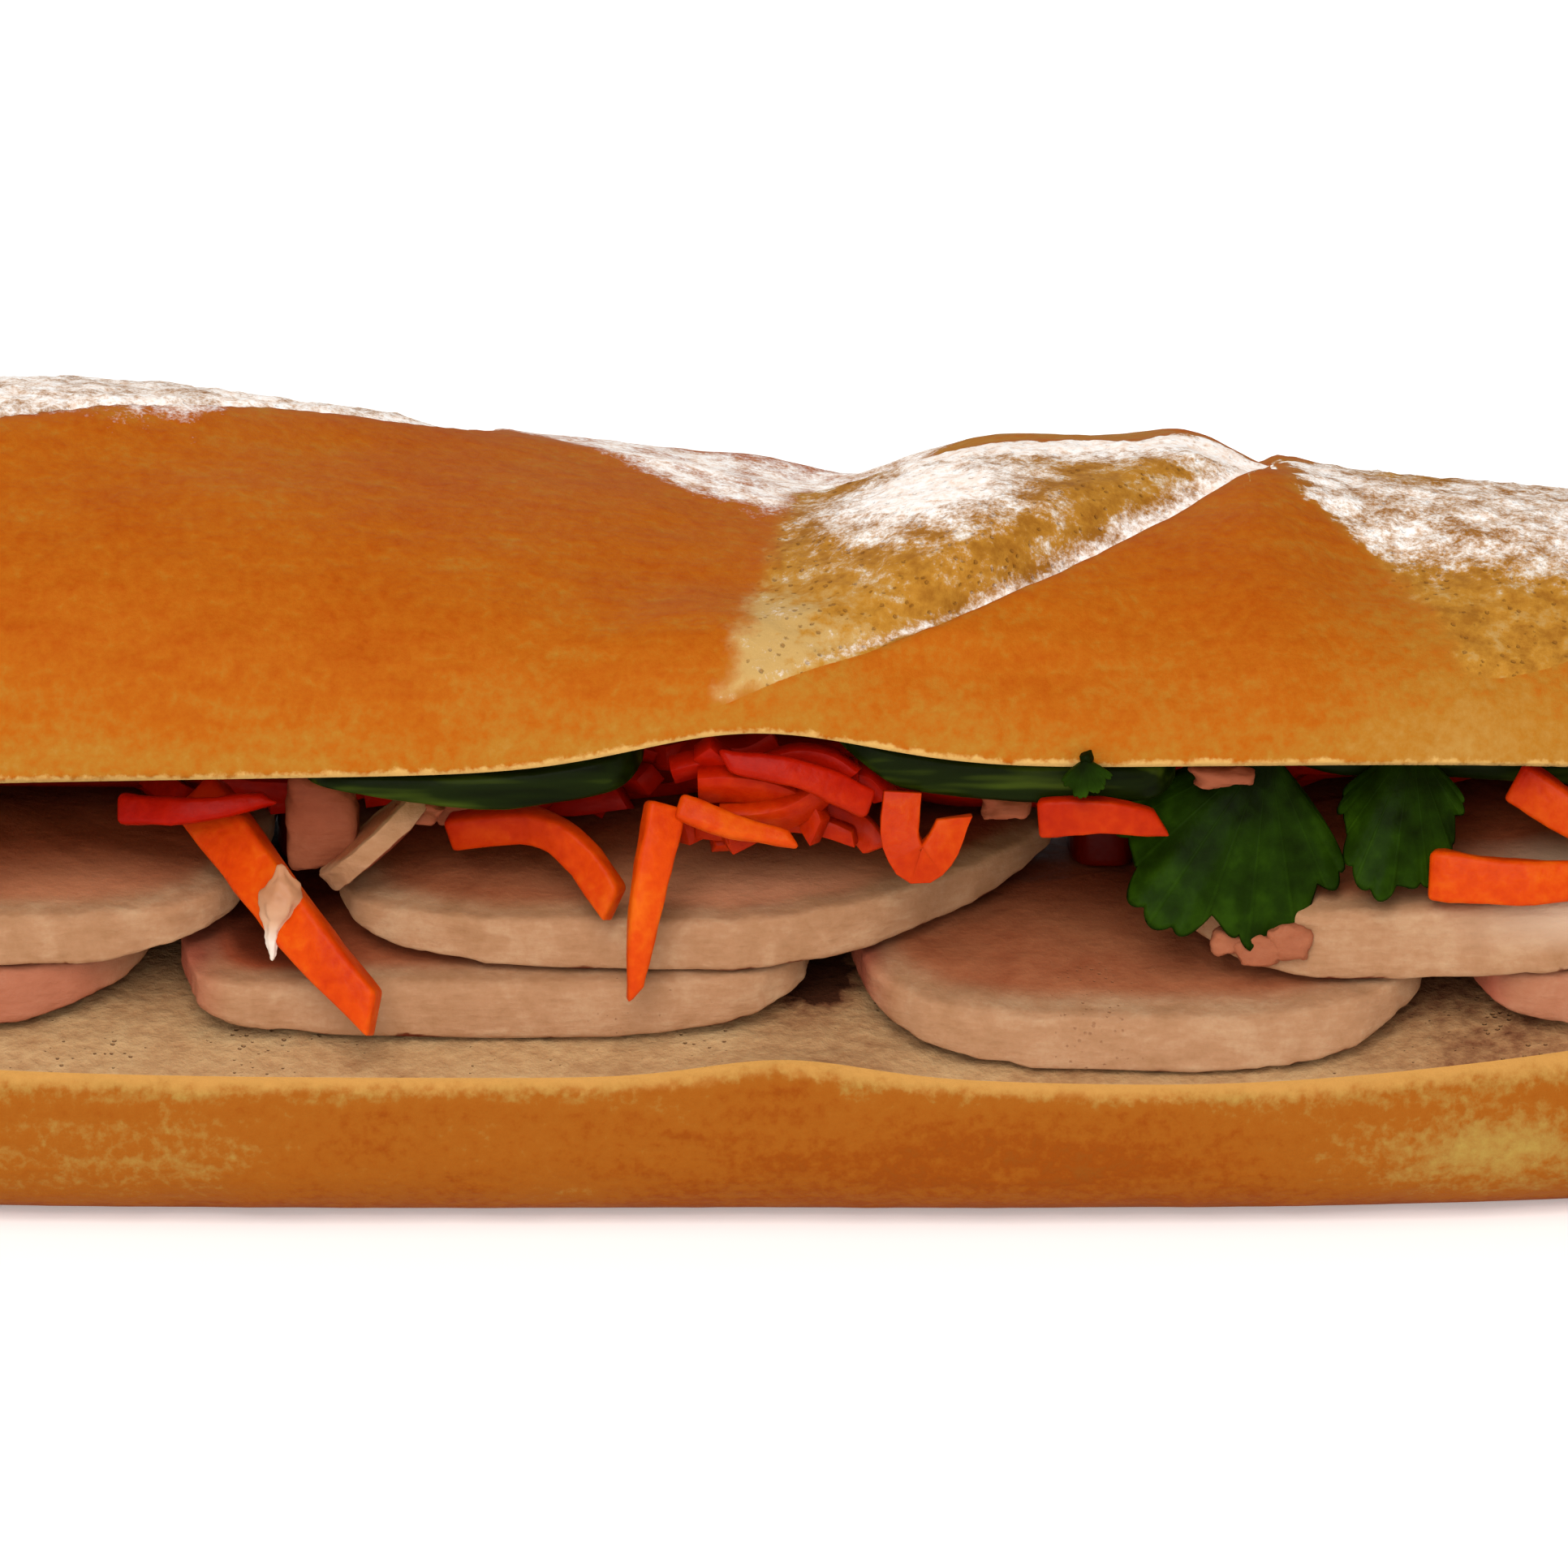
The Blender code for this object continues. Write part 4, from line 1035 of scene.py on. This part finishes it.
# A tangle of finer strips bulges from the mouth where they lift the lid: each curls up, over and down.
def tangle_route(random):
    """A curled route in mm for a strip of the tangle."""
    heading, curl = random.uniform(-0.9, 0.9), random.uniform(-1.6, 1.6)
    length = random.uniform(*TANGLE_LENGTHS)
    x = random.normal(TANGLE_MIDDLE, TANGLE_SPREAD)
    y, z = random.uniform(-33.5, -27.0), random.uniform(40.5, 48.0)
    route = []
    for share in ROUTE_SHARES:
        direction = heading + curl * share
        at_x = x + share * length * math.cos(direction)
        at_z = z + share * length * math.sin(direction) * 0.6
        at_y = y + 3.0 * share * random.uniform(-1, 1)
        floor = pork_top(at_x * MM, at_y * MM) / MM + TANGLE_ABOVE_PORK
        roof = ceiling_height(at_x * MM, at_y * MM) / MM - STRIP_MARGIN
        route.append((min(max(at_x, TANGLE_LEFT), TANGLE_RIGHT), at_y, min(max(at_z, floor), roof)))
    return route


tangle = joined("carrot_tangle", scattered("tangle_strip", tangle_route, random, *TANGLE, TANGLE_DEEPER))
soften(tangle, FINE_ROUNDING)
serve(tangle, "carrot", [], carrot)

# ---------------------------------------------------------------- the cucumber
# Unpeeled cucumber cut lengthwise into slices nearly 5 mm thick: a dark, streaked, waxy skin on both long
# edges, pale wet flesh between, and the seeds in their jelly down the middle.

# Each long slice: its two ends along X and its two skins along Y, in mm, and how soon it thickens.
CUCUMBERS = [
    (-112, -41, -19, 3.5, 2.2), (-36, -1.5, -34.5, -10, 0.8), (55, 113, -25, -3, 2.2),
    (-108, -53, 8, 30, 2.2), (-48, 38, 5, 30, 2.2), (43, 112, 4, 28, 2.2), (16, 51, -33.5, -10, 2.2),
]
CUCUMBER_SEGMENTS, CUCUMBER_RINGS = 56, 60
SKIN_SQUARENESS, FACE_SQUARENESS = 0.42, 0.3
LEAST_THICKNESS = 0.35  # of a slice at its left end, as a share


def cucumber_shape(points, low_x, high_x, low_y, high_y, growth):
    """A slice cut along the cucumber: slanting ends, straight skins, held against the lid's cut face."""
    latitude, turn = latitude_of(points), turn_of(points)
    along = 0.8 * latitude + 0.2 * np.sin(latitude * np.pi / 2)
    kept = np.sqrt(1 - np.minimum(1.0, np.abs(latitude)) ** 9)
    towards_skin = bowed(np.cos(turn), SKIN_SQUARENESS)
    across = kept * towards_skin
    level = kept * bowed(np.sin(turn), FACE_SQUARENESS)
    x = ((low_x + high_x) / 2 + (high_x - low_x) / 2 * along) * MM
    y = ((low_y + high_y) / 2 + (high_y - low_y) / 2 * across) * MM
    thickness = CUCUMBER * (LEAST_THICKNESS + (1 - LEAST_THICKNESS) * ease((1 + along) * growth))
    z = ceiling_height(x, y) - CUCUMBER_GAP - thickness * (0.5 - 0.5 * level)
    skin = np.maximum(np.abs(towards_skin), np.abs(along) ** 8)
    return (x, y, z), {"skin": skin, "seeded": bell(across, 0.45) * (kept > 0.8)}


# Cucumber: a satin, nearly black-green skin with paler streaks along it, and wet, pale green flesh.
cucumber, tree, skin_field, seeded = new_material("fresh_cucumber", {
    "Roughness": 0.4, "Specular IOR Level": 0.04,
    "Subsurface Weight": 0.05, "Subsurface Radius": (1.0 * MM, 1.6 * MM, 0.5 * MM),
}, "skin", "seeded")
place = add(tree, "TexCoord", give="Object")
lengthwise = add(tree, "Mapping", {"Vector": place, "Scale": (0.12, 1.0, 1.0)})
stripes = add(tree, "TexNoise", {"Vector": lengthwise, "Scale": 1 / (1.9 * MM), "Detail": 2.0})
flesh_noise = add(tree, "TexNoise", {"Vector": place, "Scale": 1 / (2.5 * MM), "Detail": 3.0})
rind = add(tree, "ValToRGB", {0: stripes}, stops=[(0.3, "#0a0f00"), (0.52, "#141d01"), (0.68, "#34400a")])
flesh = add(tree, "ValToRGB", {0: flesh_noise}, stops=[(0.3, "#8fa457"), (0.7, "#b9c886")])
seed_cells = add(tree, "Mapping", {"Vector": place, "Scale": (0.45, 1.0, 1.0)})
seeds = add(tree, "TexVoronoi", {"Vector": seed_cells, "Scale": 1 / (2.6 * MM)})
seed_share = add(tree, "MapRange", {0: seeds, 1: 0.42, 2: 0.3}, **SMOOTH)
seed_share = add(tree, "Math", {0: seed_share, 1: seeded}, operation="MULTIPLY")
flesh = add(tree, "Mix", {0: seed_share, 6: flesh, 7: linear("#d6d2a4")}, **COLOURS)
skin_edge = summed(tree, skin_field, (flesh_noise, 0.5, 0.03))
skin_share = add(tree, "MapRange", {0: skin_edge, 1: 0.84, 2: 0.9}, **SMOOTH)
colour = add(tree, "Mix", {0: skin_share, 6: flesh, 7: rind}, **COLOURS)
finish_material(tree, colour, 0.5, (flesh_noise, 0.5, 0.3), (seed_share, 0.0, 0.25))

for number, edges in enumerate(CUCUMBERS, 1):
    node = f"cucumber_{number}"
    long_slice = shaped_ball(node + "_slice", CUCUMBER_SEGMENTS, CUCUMBER_RINGS, cucumber_shape, *edges)
    roughen(long_slice, 8 * MM, 0.5 * MM)
    serve(long_slice, "cucumber", [node], cucumber)

# ---------------------------------------------------------------- the coriander
# Fresh coriander: thin, soft, deep green leaflets, each a fan of round lobes with blunt teeth and veins
# that spread from its base, on a slender stalk held between the carrot and the lid.

# Each leaf: its base in mm, its lean about X and its turn in degrees, its length in mm, and how soon
# its fan narrows to the sides, as a share and a power.
LEAVES = [
    ((59.6, -28.5, 48.0), 70, 160, 21.0, 0.40, 2.4),
    ((73.8, -27.5, 48.2), 62, 172, 17.5, 0.62, 1.0),
    ((41.3, -37.6, 49.0), 86, 186, 3.8, 0.2, 2.0),
    ((-44.0, 34.8, 46.0), 104, 175, 17.0, 0.40, 2.4),
    ((44.0, 34.8, 46.6), 103, 196, 15.0, 0.45, 1.6),
]
LEAF_THICKNESS = 0.4 * MM
FAN = math.radians(68)  # from its middle to each side
STALK_WIDTH = 1.0 * MM
LEAF_SEGMENTS, LEAF_RINGS = 96, 15  # halved once
LOBE, TOOTH, RIDGE, VEIN = 0.62, 0.17, 0.31, 0.25  # how far apart they lie, in radians of the fan


def leaf_shape(points, length, narrowing, power):
    """A leaflet lying flat with its base at the origin, its tip towards +Y, cupped and ruffled."""
    level = latitude_of(points)
    turn = np.arctan2(points[:, 0], points[:, 1])
    fan = turn / np.pi * FAN
    radius = 1 - np.abs(level) ** 1.3
    lobes = 1 - 0.13 * np.abs(np.cos(fan * np.pi / LOBE + 0.3)) ** 6 + 0.03 * np.sin(4 * fan)
    teeth = 1 - 0.06 * (1 - np.abs(np.sin(fan * np.pi / TOOTH + 0.5)) ** 0.7)
    sides = (1 - narrowing * np.abs(fan) ** power) * (0.3 + 0.7 * ease((np.pi - np.abs(turn)) / 0.7))
    reach = length * MM * sides * (1 + (lobes * teeth - 1) * radius**2) * radius
    ruffle = 0.07 * np.sin(5 * fan + 0.6) * radius**2 + 0.012 * np.sin(23 * fan) * radius**4
    cupped = -0.10 * radius**2 - 0.10 * fan**2 * radius
    ridges = 0.05 * np.abs(np.sin(fan * np.pi / RIDGE)) * radius
    z = length * MM * (cupped + ruffle) + LEAF_THICKNESS * (0.5 * np.sign(level) * (1 - radius**6) + ridges)
    return (reach * np.sin(fan), reach * np.cos(fan), z), {"fan": fan, "reach": radius}


# Coriander leaf: satin and thin, deep green, with slightly paler veins and paler teeth.
LEAF_COLOURS = [(0.1, "#0c1401"), (0.5, "#182a02"), (0.95, "#2a4405")]
leaf_green, tree, fan, reach = new_material(
    "coriander_leaf", {"Roughness": 0.45, "Specular IOR Level": 0.02}, "fan", "reach"
)
place = add(tree, "TexCoord", give="Object")
fan_turn = add(tree, "Math", {0: fan, 1: 2 * math.pi / VEIN}, operation="MULTIPLY")
fan_wave = add(tree, "Math", {0: fan_turn}, operation="COSINE")
vein = add(tree, "MapRange", {0: fan_wave, 1: 0.93, 2: 1.0}, **SMOOTH)
blotch = add(tree, "TexNoise", {"Vector": place, "Scale": 1 / (3 * MM), "Detail": 4.0})
leaf_tone = summed(tree, 0.4, (blotch, 0.5, 1.2), (reach, 0.6, 0.5), (vein, 0.0, 0.07))
leaf_colour = add(tree, "ValToRGB", {0: leaf_tone}, stops=LEAF_COLOURS)
finish_material(tree, leaf_colour, 0.6, (vein, 0.0, 0.05), (blotch, 0.5, 0.5))

for number, (root, lean, turn, *sizes) in enumerate(LEAVES, 1):
    node = f"coriander_{number}"
    leaf = shaped_ball(node + "_leaf", LEAF_SEGMENTS, LEAF_RINGS, leaf_shape, *sizes, halvings=1)
    leaf.matrix_world = (
        Matrix.Translation(Vector(root) * MM)
        @ Matrix.Rotation(math.radians(lean), 4, "X")
        @ Matrix.Rotation(math.radians(turn), 4, "Z")
    )
    bpy.ops.object.transform_apply(location=True, rotation=True, scale=True)
    x, y, z = root
    inwards = -1 if y > 0 else 1
    back = [(x, y, z), (x + 0.6, y + 2.5 * inwards, z + 0.1), (x + 2, y + 7 * inwards, z - 0.8)]
    stalk = strip_piece(node + "_stalk", bent_strip(back, STALK_WIDTH, STALK_WIDTH, 0.0, 0.0, 0.2))
    leaf = joined(node + "_leaf", [stalk, leaf])
    leaf.data.shade_smooth()
    serve(leaf, "coriander", [node], leaf_green)
bpy.data.objects.remove(strip_pattern)

# ---------------------------------------------------------------- the sauce and the scraps
# Mayonnaise that was spread on the lid has run down in one thick drop beside the longest strip, and
# small torn scraps of the roast are caught among the fillings.

SAUCE_TOP = np.array([[-37.2], [-34.4], [37.6]])  # in mm, as is its length
SAUCE_LENGTH = 9.4
SAUCE_SEGMENTS, SAUCE_RINGS = 32, 48
SCRAP_SEGMENTS, SCRAP_RINGS = 32, 20


def sauce_shape(points):
    """A run of sauce: a flattened lump above and a rounded drop below, joined by a thin neck."""
    down = 0.5 - 0.5 * latitude_of(points)
    turn = turn_of(points)
    width = np.sin(np.pi * down) ** 0.35 * (0.55 + 1.6 * bell(down - 0.36, 0.26))
    x = 0.3 * np.sin(6 * down) - 0.9 * down + width * (1 + 0.2 * np.sin(3 * turn)) * np.cos(turn)
    y = 0.7 * width * np.sin(turn) - 1.6 * down
    return (SAUCE_TOP + (x, y, -SAUCE_LENGTH * down)) * MM, {"down": down}


# Mayonnaise: a smooth, satin emulsion, browned above by the juices that it has run through.
sauce, tree, down = new_material("mayonnaise", {
    "Roughness": 0.4, "Specular IOR Level": 0.15,
    "Subsurface Weight": 0.3, "Subsurface Radius": (1.5 * MM, 1.2 * MM, 0.9 * MM),
}, "down")
blend = add(tree, "ValToRGB", {0: down}, stops=[(0.3, "#b07a56"), (0.6, "#c39878"), (0.8, "#d6c4b4")])
tree.links.new(blend, tree.nodes["Principled BSDF"].inputs["Base Color"])
drop = shaped_ball("sauce_drop", SAUCE_SEGMENTS, SAUCE_RINGS, sauce_shape)
roughen(drop, 1.5 * MM, 0.8 * MM)
serve(drop, None, [], sauce)

# Each scrap: its middle and half sizes in mm.
SCRAPS = [
    ((-33.8, -24.4, 39.2), (3.6, 1.6, 4.6)), ((-19.5, -24.0, 40.0), (3.2, 1.6, 1.2)),
    ((-24.0, -26.0, 40.6), (2.4, 1.5, 1.0)), ((55.0, -31.5, 45.8), (3.2, 1.6, 1.0)),
    ((56.2, -30.8, 28.7), (2.2, 1.2, 1.1)), ((59.0, -31.4, 28.0), (2.6, 1.2, 1.5)),
    ((61.8, -31.6, 28.7), (2.2, 1.0, 1.8)), ((34.0, -24.5, 41.0), (2.6, 1.8, 1.3)),
]


def scrap_shape(points, middle, half, phase):
    """A torn, fibrous lump."""
    swell = 1 + 0.18 * np.sin(3 * points[:, 0] + phase) * np.cos(4 * points[:, 2] + phase)
    placed = (np.array(middle) + bowed(points, 0.65) * np.array(half) * swell[:, None]) * MM
    even = np.ones(len(points))
    fields = {"inner": 0.12 * even, "level": even, "pink": 0.2 * even}
    # Painted shade: each scrap is coloured half again darker than its place under the lid makes it.
    return placed.T, {**fields, "shaded": 0.5 + shade_at(*placed.T)}


parts = [
    shaped_ball(f"scrap_{index}", SCRAP_SEGMENTS, SCRAP_RINGS, scrap_shape, middle, half, 2.3 * index)
    for index, (middle, half) in enumerate(SCRAPS)
]
scraps = joined("pork_scraps", parts)
roughen(scraps, 1.4 * MM, 0.9 * MM)
serve(scraps, "pork", [], pork)

# ---------------------------------------------------------------- the size
sizes = [[list(corner) for corner in corners] for corners in (cad_box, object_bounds())]
